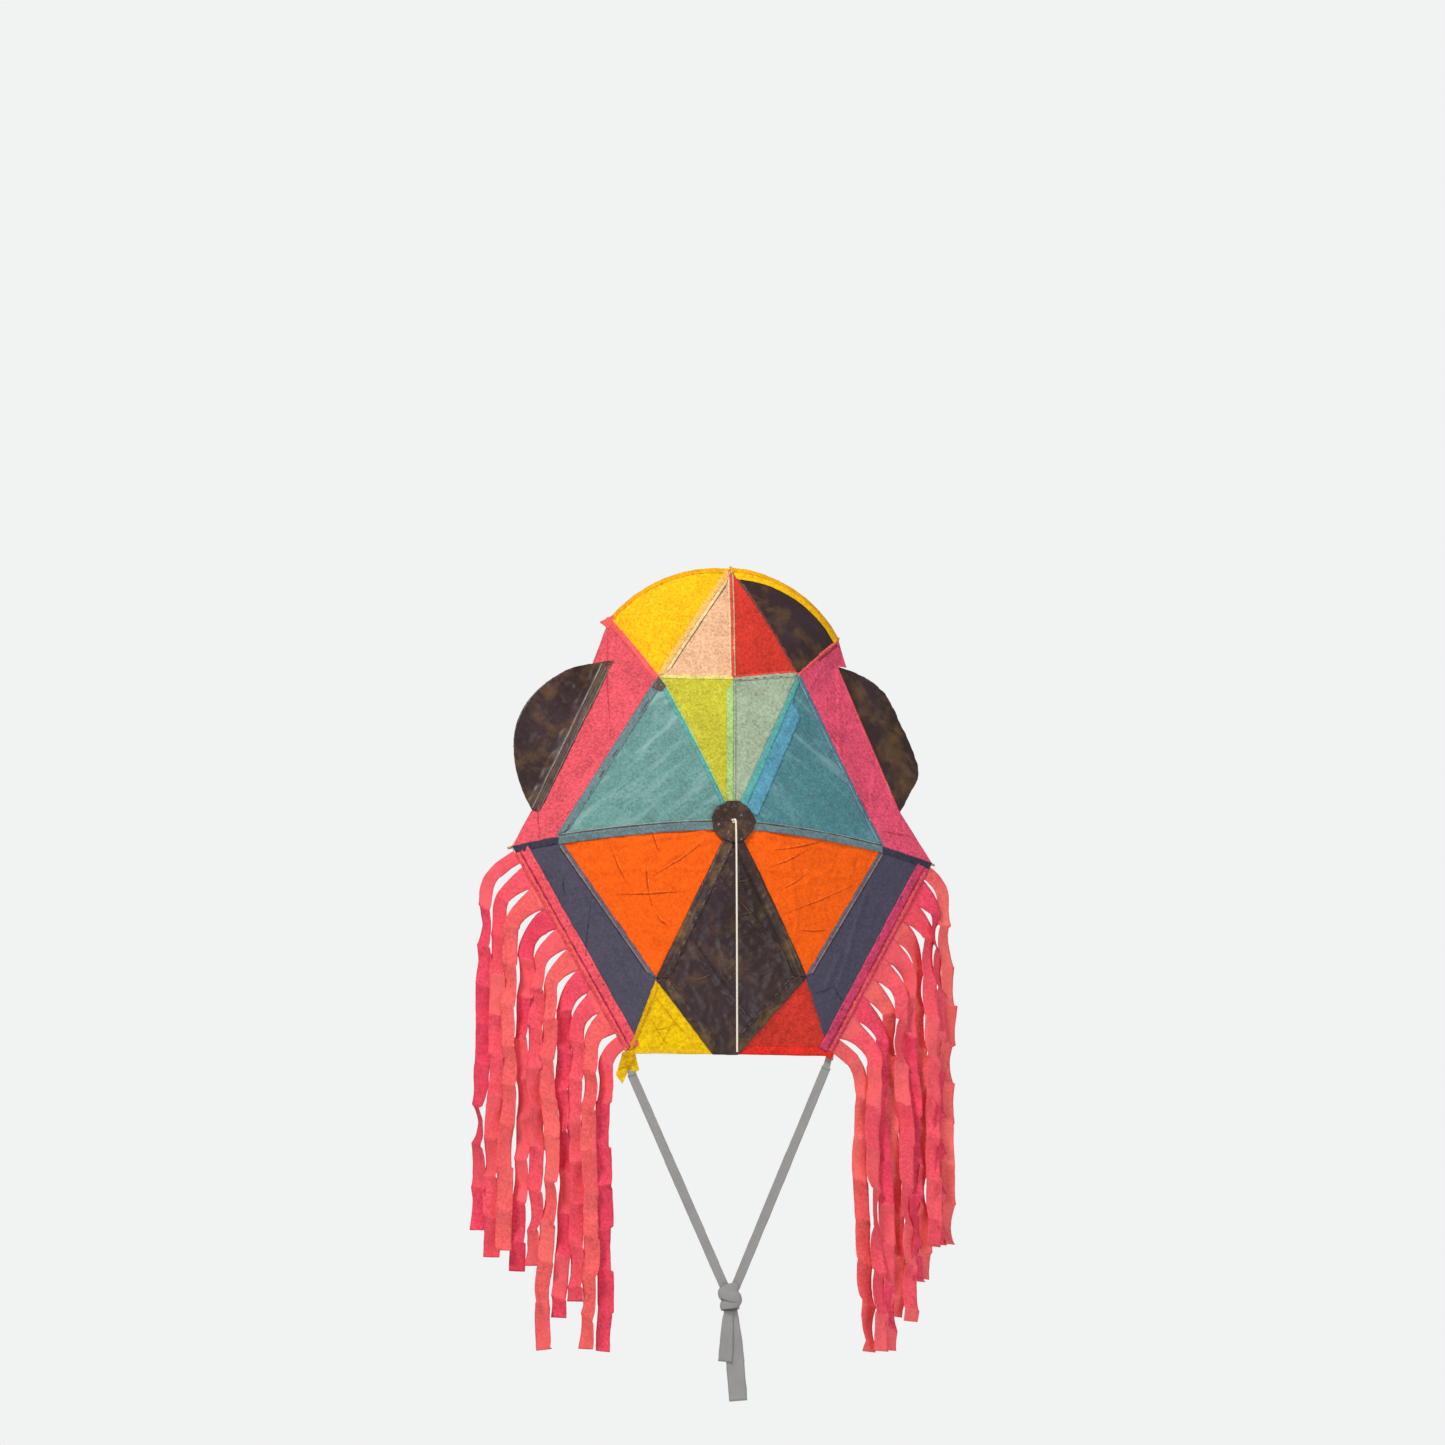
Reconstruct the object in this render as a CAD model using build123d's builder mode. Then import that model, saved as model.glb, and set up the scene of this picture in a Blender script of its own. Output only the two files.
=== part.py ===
from build123d import *
import os
from math import radians, tan

# A six-cornered paper kite on bowed canes, with two side flaps that hum in the wind, fringes and a looped
# tail. Millimetres: X to the right, Y to the back, Z up. The origin is where the canes cross, at the hub,
# and the face that is seen from the ground looks towards -Y.

os.makedirs("parts", exist_ok=True)

# Stock
cane_diameter = 3.6
cord_diameter = 1.0
paper_thickness = 0.5
line_diameter = 2.5
ribbon_thickness = 1.0
paper_gap = 0.5
lap_gap = 0.12
swing_gap = 1.5
tip_slope_room = 0.9

# Canes: how far each corner lies behind the hub, and where the corners are
nose_depth = 54
top_depth = 96
side_depth = 85
bottom_depth = 51
nose = Vector(5, nose_depth, 363)
top_left = Vector(-149, top_depth, 302)
top_right = Vector(151, top_depth, 288)
side_left = Vector(-270, side_depth, -16)
side_right = Vector(267, side_depth, -17)
bottom_left = Vector(-124, bottom_depth, -287)
bottom_right = Vector(127, bottom_depth, -282)
cane_bend_radius = 120
hub_bend_radius = 60
crossing_clearance = 1.0
cane_overhang = 5
spine_foot = 15

# Inner ring of seams, on the canes
inner_top_height_left, inner_top_reach_left = 203, -90
inner_top_height_right, inner_top_reach_right = 217, 90
inner_side_height_left, inner_side_reach_left = -11, -215
inner_side_height_right, inner_side_reach_right = -10, 198
inner_bottom_height_left, inner_bottom_reach_left = -199, -92
inner_bottom_height_right, inner_bottom_reach_right = -190, 94
mid_top_height, mid_top_reach = 197, 3
diamond_foot_left, diamond_foot_right = 0.42, 0.54

# Hub
disc_radius = 27.5
disc_thickness = 0.4
lashing_width = 3.4 * cane_diameter
lashing_band = 2.0
lashing_thread = 0.6
lashing_slack = 0.5
lashing_turn = 60
knot_radius = 3.2
knot_clearance = 0.4
line_tie_depth = 2.2
line_lead = 9
line_curl_depth, line_curl_drop = 14, 10
line_drift = 1.8
line_length_down = 300
free_bend_share = 0.45

# Side edges, where the hummers hinge
hummer_top_share, hummer_foot_share = 5 / 11, 3 / 11
hummer_top_depth = side_depth + (top_depth - side_depth) * hummer_top_share
hummer_foot_depth = side_depth + (top_depth - side_depth) * hummer_foot_share
hummer_top_left = Vector(-157, hummer_top_depth, 237)
hummer_foot_left = Vector(-244, hummer_foot_depth, 35)
hummer_top_right = Vector(148.5, hummer_top_depth, 249)
hummer_foot_right = Vector(227.5, hummer_foot_depth, 50)
flap_reach = 12.5
flap_share_left, flap_share_right = 0.97, 0.93
hummer_depth = 69
hummer_sweep = 30
edge_pull_radius = 40
corner_wrap_radius = 3

# Trim
header_width = 14
header_start = 14
header_end = 9
bow_hem_share = 0.14
blue_patch_share = 0.30
tab_width = 12.5
tab_drop = 35

# Fringes
strip_width = 20
strip_thickness = 0.4
strip_bend_radius = 22
strip_ends_left = [503, 537, 530, 553, 548, 650, 610, 592, 650, 652]
strip_ends_right = [506, 508, 512, 551, 556, 606, 600, 642, 645, 645]
strip_reach_left_side, strip_reach_left_bottom = 31, 28
strip_reach_right_side, strip_reach_right_bottom = 17, 44

# Tail
tail_depth = 53
tail_width = 12
tail_top_left = Vector(-117, tail_depth, -316)
tail_top_right = Vector(122, tail_depth, -300)
knot_width, knot_height, knot_depth = 30, 34, 16
knot_centre = Vector(3, tail_depth, -582)
knot_roundness = 0.4
leg_entry = 0.625 * tail_width
end_gap = 3.0
end_width = 22
short_end_share = 0.7
long_end_drop, long_end_lean = 106, 10
short_end_drop, short_end_lean = 60, -3

# Fits
cane_radius = cane_diameter / 2
stand_off = cane_radius + tip_slope_room + cord_diameter + paper_gap
cord_forward = Vector(0, -(cane_radius + tip_slope_room + cord_diameter / 2), 0)
paper_forward = Vector(0, -stand_off, 0)
lap_forward = Vector(0, -(paper_thickness + lap_gap), 0)
crossing_pitch = cane_diameter + crossing_clearance
to_front = (0, -1, 0)
disc_back = stand_off + 2 * (paper_thickness + lap_gap)
disc_front = disc_back + disc_thickness


def on_cane(corner, across, up):
    """A point of the bow between the hub and a corner, set back as a parabola that is flat at the hub."""
    share = (across**2 + up**2) / (corner.X**2 + corner.Z**2)
    return Vector(across, corner.Y * share, up)


def halfway(point):
    """The bow's point halfway out to another of its points."""
    return Vector(point.X / 2, point.Y / 4, point.Z / 2)


def along(start, end, share):
    return start + (end - start) * share


def past(inner, tip, overhang):
    return tip + (tip - inner).normalized() * overhang


def save(builder, name):
    builder.part.label = name
    export_step(builder.part, f"parts/{name}.step")


hub = Vector(0, 0, 0)
inner_top_left = on_cane(top_left, inner_top_reach_left, inner_top_height_left)
inner_top_right = on_cane(top_right, inner_top_reach_right, inner_top_height_right)
inner_side_left = on_cane(side_left, inner_side_reach_left, inner_side_height_left)
inner_side_right = on_cane(side_right, inner_side_reach_right, inner_side_height_right)
inner_bottom_left = on_cane(bottom_left, inner_bottom_reach_left, inner_bottom_height_left)
inner_bottom_right = on_cane(bottom_right, inner_bottom_reach_right, inner_bottom_height_right)
mid_top = on_cane(nose, mid_top_reach, mid_top_height)
foot_left = along(bottom_left, bottom_right, diamond_foot_left)
foot_right = along(bottom_left, bottom_right, diamond_foot_right)


# ---------------------------------------------------------------- canes


def rod(name, points, radii, diameter):
    """A round rod along straight runs joined by tangent arcs."""
    with BuildPart() as body:
        with BuildLine() as path:
            FilletPolyline(*points, radius=radii)
        with BuildSketch(path.line ^ 0):
            Circle(diameter / 2)
        sweep(path=path.line)
    save(body, name)


def crossing_cane(name, tip_a, inner_a, inner_b, tip_b, layer):
    """A cane from tip to tip, bowed, that passes behind the ones of lower layers at the hub."""
    points = [
        past(inner_a, tip_a, cane_overhang),
        inner_a,
        halfway(inner_a) + Vector(0, layer * crossing_pitch / 2, 0),
        Vector(0, layer * crossing_pitch, 0),
        halfway(inner_b) + Vector(0, layer * crossing_pitch / 2, 0),
        inner_b,
        past(inner_b, tip_b, cane_overhang),
    ]
    bends = [cane_bend_radius, cane_bend_radius, hub_bend_radius, cane_bend_radius, cane_bend_radius]
    rod(name, points, bends, cane_diameter)


crossing_cane("cross_cane", side_left, inner_side_left, inner_side_right, side_right, 0)
crossing_cane("diagonal_cane_left", top_left, inner_top_left, inner_bottom_right, bottom_right, 1)
crossing_cane("diagonal_cane_right", top_right, inner_top_right, inner_bottom_left, bottom_left, 2)

spine_back = Vector(0, 3 * crossing_pitch, 0)
spine_points = [spine_back + Vector(0, 0, -spine_foot), mid_top, past(mid_top, nose, cane_overhang)]
rod("spine_cane", spine_points, [cane_bend_radius], cane_diameter)



def setback(cane, bow):
    """How far behind a cane the bow passes, so that the two clear each other square to both."""
    return crossing_pitch / abs(cane.cross(bow).normalized().Y)


with BuildLine():
    bow_shape = ThreePointArc(top_left, nose, top_right)
bow_back_left = setback(top_left - inner_top_left, bow_shape % 0)
bow_back_right = setback(top_right - inner_top_right, bow_shape % 1)
bow_back = Vector(0, max(bow_back_left, bow_back_right), 0)
print("nose bow behind the canes", round(bow_back.Y, 2))
with BuildPart() as nose_bow:
    with BuildLine() as bow_path:
        bow_arc = ThreePointArc(top_left + bow_back, nose + bow_back, top_right + bow_back)
    with BuildSketch(bow_path.line ^ 0):
        Circle(cane_radius)
    sweep(path=bow_path.line)
save(nose_bow, "nose_bow")

# The lashing is a band of thread round all four canes, in the widest gap between them.
lashing_front = cane_radius + lap_gap
lashing_back = 3 * crossing_pitch + cane_radius + lashing_slack
lashing_plane = Plane(
    origin=(0, (lashing_back - lashing_front) / 2, 0),
    x_dir=(0, 1, 0),
    z_dir=Vector(1, 0, 0).rotate(Axis.Y, lashing_turn),
)
lashing_length = lashing_back + lashing_front
with BuildPart() as hub_lashing:
    with BuildSketch(lashing_plane):
        Rectangle(lashing_length + 2 * lashing_thread, lashing_width + 2 * lashing_thread)
        Rectangle(lashing_length, lashing_width, mode=Mode.SUBTRACT)
    extrude(amount=lashing_band / 2, both=True)
    fillet(hub_lashing.edges().filter_by(GeomType.LINE).group_by(Axis.Y)[0], radius=lashing_thread / 3)
save(hub_lashing, "hub_lashing")

# ---------------------------------------------------------------- edge cord

edge_points = [
    top_left,
    hummer_top_left,
    hummer_foot_left,
    side_left,
    bottom_left,
    bottom_right,
    side_right,
    hummer_foot_right,
    hummer_top_right,
    top_right,
]
edge_radii = [edge_pull_radius] * 2 + [corner_wrap_radius] * 4 + [edge_pull_radius] * 2
rod("edge_cord", [point + cord_forward for point in edge_points], edge_radii, cord_diameter)

# ---------------------------------------------------------------- paper


def centre_of(outline):
    return sum(outline, Vector(0, 0, 0)) / len(outline)


def facet(a, b, c, forward):
    """One flat face of a sheet, given thickness towards the front."""
    corners = [point + forward for point in (a, b, c)]
    plane = Plane(origin=corners[0], x_dir=corners[1] - corners[0], z_dir=(b - a).cross(c - a))
    with BuildSketch(plane) as face:
        with BuildLine():
            Polyline(*[plane.to_local_coords(corner) for corner in corners], close=True)
        make_face()
    extrude(face.sketch, amount=paper_thickness, dir=to_front)


def patch(name, outline, ears=()):
    """A piece of paper stretched over its outline, as flat faces that meet at its middle, and its ears."""
    middle = centre_of(outline)
    with BuildPart() as sheet:
        for start, end in zip(outline, outline[1:] + outline[:1]):
            facet(start, end, middle, paper_forward)
        for ear in ears:
            facet(*ear, paper_forward)
    save(sheet, name)
    return middle


def band(name, edge, middle, share):
    """A narrow piece pasted in front of a patch, along part of its outline."""
    forward = paper_forward + lap_forward
    inner = [along(point, middle, share) for point in edge]
    with BuildPart() as sheet:
        for i in range(len(edge) - 1):
            facet(edge[i], edge[i + 1], inner[i + 1], forward)
            if (inner[i] - edge[i]).length > paper_thickness:
                facet(edge[i], inner[i + 1], inner[i], forward)
    save(sheet, name)


def bow_points(start, end):
    """Three points of the nose bow between two shares of its length."""
    return [bow_arc @ (start + (end - start) * i / 4) - bow_back for i in (1, 2, 3)]


side_flap_left = along(top_left, hummer_top_left, flap_share_left) - Vector(flap_reach, 0, 0)
side_flap_right = along(top_right, hummer_top_right, flap_share_right) + Vector(flap_reach, 0, 0)

mid_spine = halfway(mid_top)
mid_top_left = halfway(inner_top_left)
mid_top_right = halfway(inner_top_right)
mid_side_left = halfway(inner_side_left)
mid_side_right = halfway(inner_side_right)
mid_bottom_left = halfway(inner_bottom_left)
mid_bottom_right = halfway(inner_bottom_right)

nose_share = bow_arc.param_at_point(nose + bow_back)
bow_left = bow_points(0, nose_share)
bow_right = bow_points(nose_share, 1)

patch("paper_lime", [hub, mid_top_left, inner_top_left, mid_top, mid_spine])
patch("paper_sage", [hub, mid_spine, mid_top, inner_top_right, mid_top_right])
patch("paper_teal_left", [hub, mid_side_left, inner_side_left, inner_top_left, mid_top_left])
teal_right_edge = [hub, mid_top_right, inner_top_right]
teal_middle = patch("paper_teal_right", teal_right_edge + [inner_side_right, mid_side_right])
patch("paper_orange_left", [hub, mid_bottom_left, inner_bottom_left, inner_side_left, mid_side_left])
patch("paper_orange_right", [hub, mid_side_right, inner_side_right, inner_bottom_right, mid_bottom_right])
patch(
    "paper_dark_diamond",
    [hub, mid_bottom_right, inner_bottom_right, foot_right, foot_left, inner_bottom_left, mid_bottom_left],
)
patch("paper_cream", [nose, mid_top, inner_top_left])
patch("paper_red_top", [nose, inner_top_right, mid_top])
patch("paper_yellow_top", [top_left, *bow_left, nose, inner_top_left])
black_edge = [nose, *bow_right, top_right]
black_middle = patch("paper_black_top", black_edge + [inner_top_right])
patch(
    "paper_pink_left",
    [inner_top_left, inner_side_left, side_left, hummer_foot_left, hummer_top_left],
    [(top_left, inner_top_left, hummer_top_left), (top_left, side_flap_left, hummer_top_left)],
)
patch(
    "paper_pink_right",
    [hummer_top_right, hummer_foot_right, side_right, inner_side_right, inner_top_right],
    [(top_right, inner_top_right, hummer_top_right), (top_right, side_flap_right, hummer_top_right)],
)
patch("paper_yellow_bottom", [inner_bottom_left, foot_left, bottom_left])
patch("paper_red_bottom", [inner_bottom_right, bottom_right, foot_right])
band("paper_blue_strip", teal_right_edge, teal_middle, blue_patch_share)
band("paper_yellow_hem", black_edge, black_middle, bow_hem_share)


def lower_edge(side, bottom, inner_side, inner_bottom, hand):
    """The fringe header along one lower edge of the sail, and the slate paper inside it."""
    run = bottom - side
    across = inner_bottom - side
    square_across = across - run * (across.dot(run) / run.dot(run))
    outer_top = side + run.normalized() * header_start
    inner_top = outer_top + square_across.normalized() * header_width
    outer_foot = bottom - run.normalized() * header_end
    inner_foot = along(bottom, inner_bottom, header_width / square_across.length)
    patch(f"fringe_header_{hand}", [outer_top, outer_foot, inner_foot, inner_top])
    patch(
        f"paper_slate_{hand}",
        [inner_top, inner_foot, inner_bottom, inner_side],
        [(side, outer_top, inner_top), (side, inner_top, inner_side)],
    )


lower_edge(side_left, bottom_left, inner_side_left, inner_bottom_left, "left")
lower_edge(side_right, bottom_right, inner_side_right, inner_bottom_right, "right")

# The fold of the left corner's yellow paper hangs below the cane's tip.
tab_plane = Plane(origin=bottom_left + paper_forward + lap_forward, x_dir=(1, 0, 0), z_dir=to_front)
with BuildPart() as corner_fold:
    with BuildSketch(tab_plane):
        with BuildLine():
            Polyline(
                (-tab_width / 2, -1),
                (-tab_width, -tab_drop * 3 / 4),
                (-tab_width / 2, -tab_drop),
                (0, -tab_drop * 5 / 8),
                (tab_width / 3, -tab_drop * 2 / 3),
                (tab_width, -tab_drop / 2),
                (tab_width * 2 / 3, -1),
                close=True,
            )
        make_face()
    extrude(amount=paper_thickness)
save(corner_fold, "corner_fold")

# ---------------------------------------------------------------- hub disc and flying line

with BuildPart() as hub_disc:
    with BuildSketch(Plane(origin=(0, -disc_back, 0), x_dir=(1, 0, 0), z_dir=to_front)):
        Circle(disc_radius)
    extrude(amount=disc_thickness)
save(hub_disc, "hub_disc")

knot_y = -(disc_front + knot_clearance + knot_radius)
with BuildPart() as line_knot:
    with Locations((0, knot_y, 0)):
        Sphere(knot_radius)
    split(bisect_by=Plane(origin=(0, knot_y - line_tie_depth, 0), z_dir=(0, 1, 0)), keep=Keep.TOP)
save(line_knot, "line_knot")

line_start = Vector(0, knot_y - line_tie_depth, 0)
line_points = [
    line_start,
    line_start + Vector(0, -line_lead, 0),
    line_start + Vector(line_drift, -line_curl_depth, -line_curl_drop),
    line_start + Vector(line_drift, -line_curl_depth, -line_length_down),
]


def free_radii(points):
    """The largest arc that each corner of a free cord leaves room for."""
    radii = []
    for before, corner, after in zip(points, points[1:], points[2:]):
        turn = radians((corner - before).get_angle(after - corner))
        radii.append(free_bend_share * min((corner - before).length, (after - corner).length) / tan(turn / 2))
    return radii


line_radii = free_radii(line_points)
print("flying line radii", [round(radius, 1) for radius in line_radii])
rod("flying_line", line_points, line_radii, line_diameter)

# ---------------------------------------------------------------- hummers


def hummer(name, top, foot, outward, sweep_angle):
    """A half-round flap of stiff paper, hinged on the edge cord and swept back from it."""
    chord = foot - top
    axis = Axis(origin=top, direction=chord)
    out = (outward - chord * (outward.dot(chord) / chord.dot(chord))).normalized()
    out = out.rotate(Axis(origin=(0, 0, 0), direction=axis.direction), sweep_angle)
    plane = Plane(origin=top + cord_forward, x_dir=chord, z_dir=chord.cross(out))
    inset = cord_diameter / 2 + swing_gap
    length = chord.length
    with BuildPart() as flap:
        with BuildSketch(plane):
            with BuildLine():
                Polyline((length - inset, inset), (inset, inset))
                ThreePointArc((inset, inset), (length / 2, hummer_depth), (length - inset, inset))
            make_face()
        extrude(amount=paper_thickness / 2, both=True)
    save(flap, name)


hummer("hummer_left", hummer_top_left, hummer_foot_left, Vector(-1, 0, 0), 0)
hummer("hummer_right", hummer_top_right, hummer_foot_right, Vector(1, 0, 0), -hummer_sweep)

# ---------------------------------------------------------------- fringes


def fringe(hand, top, foot, side_reach, bottom_reach, ends):
    """Strips cut from one header: each leaves it outwards, turns down and hangs plumb."""
    run = foot - top
    level = Vector(run.X, run.Y, 0)
    inward, drop = level.length, -run.Z
    face = Plane(origin=top + cord_forward, x_dir=level, z_dir=level.cross(Vector(0, 0, 1)))
    away = Vector(-drop, -inward).normalized()
    tilt = abs(level.normalized().X)
    outer_column = abs(top.X) + side_reach
    inner_column = abs(foot.X) + bottom_reach
    for i, end in enumerate(ends):
        root = Vector(inward, -drop) * ((i + 0.5) / len(ends))
        column = outer_column + (inner_column - outer_column) * i / (len(ends) - 1)
        start = root + away * (cord_diameter / 2 + swing_gap)
        hang = (abs(top.X) - column) / tilt
        knee = start + away * ((start.X - hang) / -away.X)
        layer = (strip_thickness + lap_gap) * (i % 2)
        with BuildPart() as strip:
            with BuildSketch(face.offset(layer - strip_thickness - lap_gap / 2)):
                with BuildLine():
                    FilletPolyline(start, knee, (hang, -end - top.Z), radius=strip_bend_radius)
                trace(line_width=strip_width)
            extrude(amount=strip_thickness)
        save(strip, f"fringe_strip_{hand}_{i + 1:02d}")


fringe("left", side_left, bottom_left, strip_reach_left_side, strip_reach_left_bottom, strip_ends_left)
fringe("right", side_right, bottom_right, strip_reach_right_side, strip_reach_right_bottom, strip_ends_right)

# ---------------------------------------------------------------- tail


def ribbon(name, *routes):
    """Flat cloth ribbons along straight routes, each given as its ends, its width and how far forward."""
    with BuildPart() as cloth:
        for start, end, width, forward in routes:
            flat = Plane(origin=(0, tail_depth - forward, 0), x_dir=(1, 0, 0), z_dir=to_front)
            with BuildSketch(flat):
                with BuildLine():
                    Line((start.X, start.Z), (end.X, end.Z))
                trace(line_width=width)
            extrude(amount=ribbon_thickness / 2, both=True)
    save(cloth, name)


knot_top = knot_centre.Z + knot_height / 2
knot_foot = knot_centre.Z - knot_height / 2


def leg(name, top, hand):
    """One leg of the tail's loop, cut level where it enters the knot."""
    half = tail_width / 2
    inner = knot_centre.X + hand * leg_entry
    slope = (top.X - inner) / (top.Z - knot_top)
    half_level = half * (1 + slope**2) ** 0.5
    flat = Plane(origin=(0, tail_depth, 0), x_dir=(1, 0, 0), z_dir=to_front)
    foot_z = knot_top + lap_gap
    with BuildPart() as cloth:
        with BuildSketch(flat):
            with BuildLine():
                Polyline(
                    (top.X - half_level, top.Z),
                    (top.X + half_level, top.Z),
                    (inner + half_level, foot_z),
                    (inner - half_level, foot_z),
                    close=True,
                )
            make_face()
        extrude(amount=ribbon_thickness / 2, both=True)
    save(cloth, name)


leg("tail_leg_left", tail_top_left, -1)
leg("tail_leg_right", tail_top_right, 1)


def hitch_route(corner, inner, leg_top):
    """From just under a cane's tip down to where the leg starts to swing."""
    tip = past(inner, corner, cane_overhang + cane_radius)
    return (
        Vector(leg_top.X, 0, tip.Z),
        Vector(leg_top.X, 0, leg_top.Z + swing_gap),
        tail_width,
        0,
    )


ribbon(
    "tail_hitches",
    hitch_route(bottom_left, inner_bottom_left, tail_top_left),
    hitch_route(bottom_right, inner_bottom_right, tail_top_right),
)

with BuildPart() as tail_knot:
    with Locations(knot_centre):
        Box(knot_width, knot_depth, knot_height)
    fillet(tail_knot.edges(), radius=min(knot_width, knot_depth, knot_height) * knot_roundness)
save(tail_knot, "tail_knot")

end_top = Vector(knot_centre.X, 0, knot_foot - end_gap)
long_end = end_top + Vector(long_end_lean, 0, -long_end_drop)
short_end = end_top + Vector(short_end_lean, 0, -short_end_drop)
ribbon("tail_end_long", (end_top, long_end, end_width, 0))
ribbon("tail_end_short", (end_top, short_end, end_width * short_end_share, ribbon_thickness + lap_gap))
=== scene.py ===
"""A six-cornered kite of tissue patches on bowed canes, with side hummers, fringes and a looped tail."""

import math

import bpy
import numpy as np
from bpy.props import FloatProperty, FloatVectorProperty, PointerProperty
from bpy.types import Operator, Panel, PropertyGroup
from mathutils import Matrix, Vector
from mathutils.geometry import delaunay_2d_cdt


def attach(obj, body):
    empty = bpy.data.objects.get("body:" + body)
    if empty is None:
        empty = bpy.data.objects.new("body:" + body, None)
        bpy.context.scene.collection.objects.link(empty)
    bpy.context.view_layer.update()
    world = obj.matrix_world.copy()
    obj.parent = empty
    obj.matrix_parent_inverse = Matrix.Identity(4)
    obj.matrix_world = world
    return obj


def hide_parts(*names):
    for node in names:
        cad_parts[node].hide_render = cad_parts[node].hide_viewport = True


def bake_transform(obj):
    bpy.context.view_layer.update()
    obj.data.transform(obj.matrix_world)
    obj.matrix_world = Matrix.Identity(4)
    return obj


bl_info = {
    "name": "Patchwork Paper Kite",
    "version": (1, 0, 0),
    "blender": (4, 5, 0),
    "location": "View3D > Sidebar > Kite",
    "description": "Builds a tissue-paper kite with fringes, hummers and a tail round its packed frame",
    "category": "Object",
}

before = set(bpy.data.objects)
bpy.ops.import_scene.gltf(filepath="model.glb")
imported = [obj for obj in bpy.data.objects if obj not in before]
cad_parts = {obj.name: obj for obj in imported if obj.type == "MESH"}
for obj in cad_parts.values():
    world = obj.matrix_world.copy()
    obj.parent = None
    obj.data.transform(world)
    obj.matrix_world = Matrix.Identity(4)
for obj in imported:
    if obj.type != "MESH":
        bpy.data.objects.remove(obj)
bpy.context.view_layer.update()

MM = 0.001
EYE, AIM = (-0.52945, -4.02155, -1.31796), (-0.01758, -0.03685, 0.11950)
LENS, FILM_WIDTH = 85, 36
FLOOR_LEVEL, FLOOR_REACH = -1.9, 9
LIGHTS = {  # place, watts, size, colour
    "Key": ((-1.9, -2.1, 2.5), 128, 1.0, (255, 248, 240)),
    "Fill": ((2.4, -3.3, -0.45), 58, 2.6, (246, 249, 255)),
    "Back": ((0.9, 3.0, 1.7), 95, 2.0, (255, 252, 246)),
}
RIBBON_THICKNESS = 0.0007
KNOT_THICKNESS = 0.0008
HUMMER_PLIES = 1.5
RIBBON_STEP = 0.003
KNOT_THREAD = 0.0019
LASHING_THREAD = 0.0008


def tint(red, green, blue):
    """A colour given as on a paint chart, 0 to 255, as the numbers that shaders use."""
    shares = (red / 255, green / 255, blue / 255)
    return tuple(c / 12.92 if c <= 0.04045 else ((c + 0.055) / 1.055) ** 2.4 for c in shares)


# ------------------------------------------------------------------ settings


def colour(name, description, red, green, blue):
    """A paper or thread colour that the user can change."""
    default = tint(red, green, blue)
    kept = {"name": name, "description": description, "default": default}
    return FloatVectorProperty(subtype="COLOR", size=3, min=0, max=1, **kept)


def length(name, description, default):
    """A size in metres that the user can change."""
    return FloatProperty(name=name, description=description, default=default, min=0, unit="LENGTH")


class KiteSizes(PropertyGroup):
    """The sizes that a user would change"""

    cane_diameter: length("Cane diameter", "Thickness of the split bamboo", 0.0036)
    joint_spacing: length("Joint spacing", "Distance between the bamboo's joints", 0.117)
    cord_diameter: length("Edge cord", "Thickness of the cord round the sail", 0.001)
    line_diameter: length("Flying line", "Thickness of the flying line", 0.0025)
    sheet_pitch: length("Sheet pitch", "Size of the facets that a sheet is made of", 0.0024)
    sheet_thickness: length("Paper thickness", "Thickness of the tissue", 0.00018)
    strip_width: length("Strip width", "Width of a fringe strip", 0.0198)
    fold_spacing: length("Fold spacing", "Distance between a strip's folds", 0.051)
    fold_depth: length("Fold depth", "How far a strip stands out at its folds", 0.0055)
    strip_twist: FloatProperty(
        name="Strip twist", description="How far a strip turns as it hangs", subtype="ANGLE", default=1.0
    )
    ribbon_width: length("Ribbon width", "Width of the tail's legs", 0.012)


class KiteColours(PropertyGroup):
    """The colours that a user would change"""

    yellow: colour("Yellow", "Upper left tissue and the bow's hem", 242, 178, 8)
    lemon: colour("Lemon", "Lower left tissue", 252, 192, 0)
    cream: colour("Cream", "Tissue left of the nose", 219, 172, 137)
    red: colour("Red", "Tissue right of the nose", 196, 52, 40)
    black: colour("Black", "Glossy paper of the hummers, the disc and the diamond", 54, 37, 33)
    lime: colour("Lime", "Tissue above the hub, left", 184, 180, 52)
    sage: colour("Sage", "Tissue above the hub, right", 154, 170, 146)
    teal: colour("Teal", "Tissue at the left of the hub", 98, 143, 140)
    sea: colour("Sea blue", "Tissue at the right of the hub", 76, 126, 134)
    turquoise: colour("Turquoise", "Lapped edges of the blue papers", 84, 158, 156)
    sky: colour("Sky blue", "Strip pasted beside the hub", 84, 146, 170)
    orange: colour("Orange", "Tissue below the cross cane", 255, 92, 6)
    slate: colour("Slate", "Dark papers inside the fringes", 74, 72, 90)
    pink: colour("Pink", "Side papers", 212, 80, 94)
    coral: colour("Coral", "Lapped edges of the side papers", 242, 92, 92)
    fringe: colour("Fringe", "Fringe strips", 238, 84, 98)
    rose: colour("Rose", "Shaded parts of the fringe", 214, 54, 92)
    cane: colour("Cane", "Split bamboo", 196, 158, 104)
    string: colour("String", "Flying line, lashing and edge cord", 240, 235, 216)
    ribbon: colour("Ribbon", "Cloth ribbon of the tail", 152, 152, 152)


# ------------------------------------------------------------------ node trees as expressions


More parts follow.
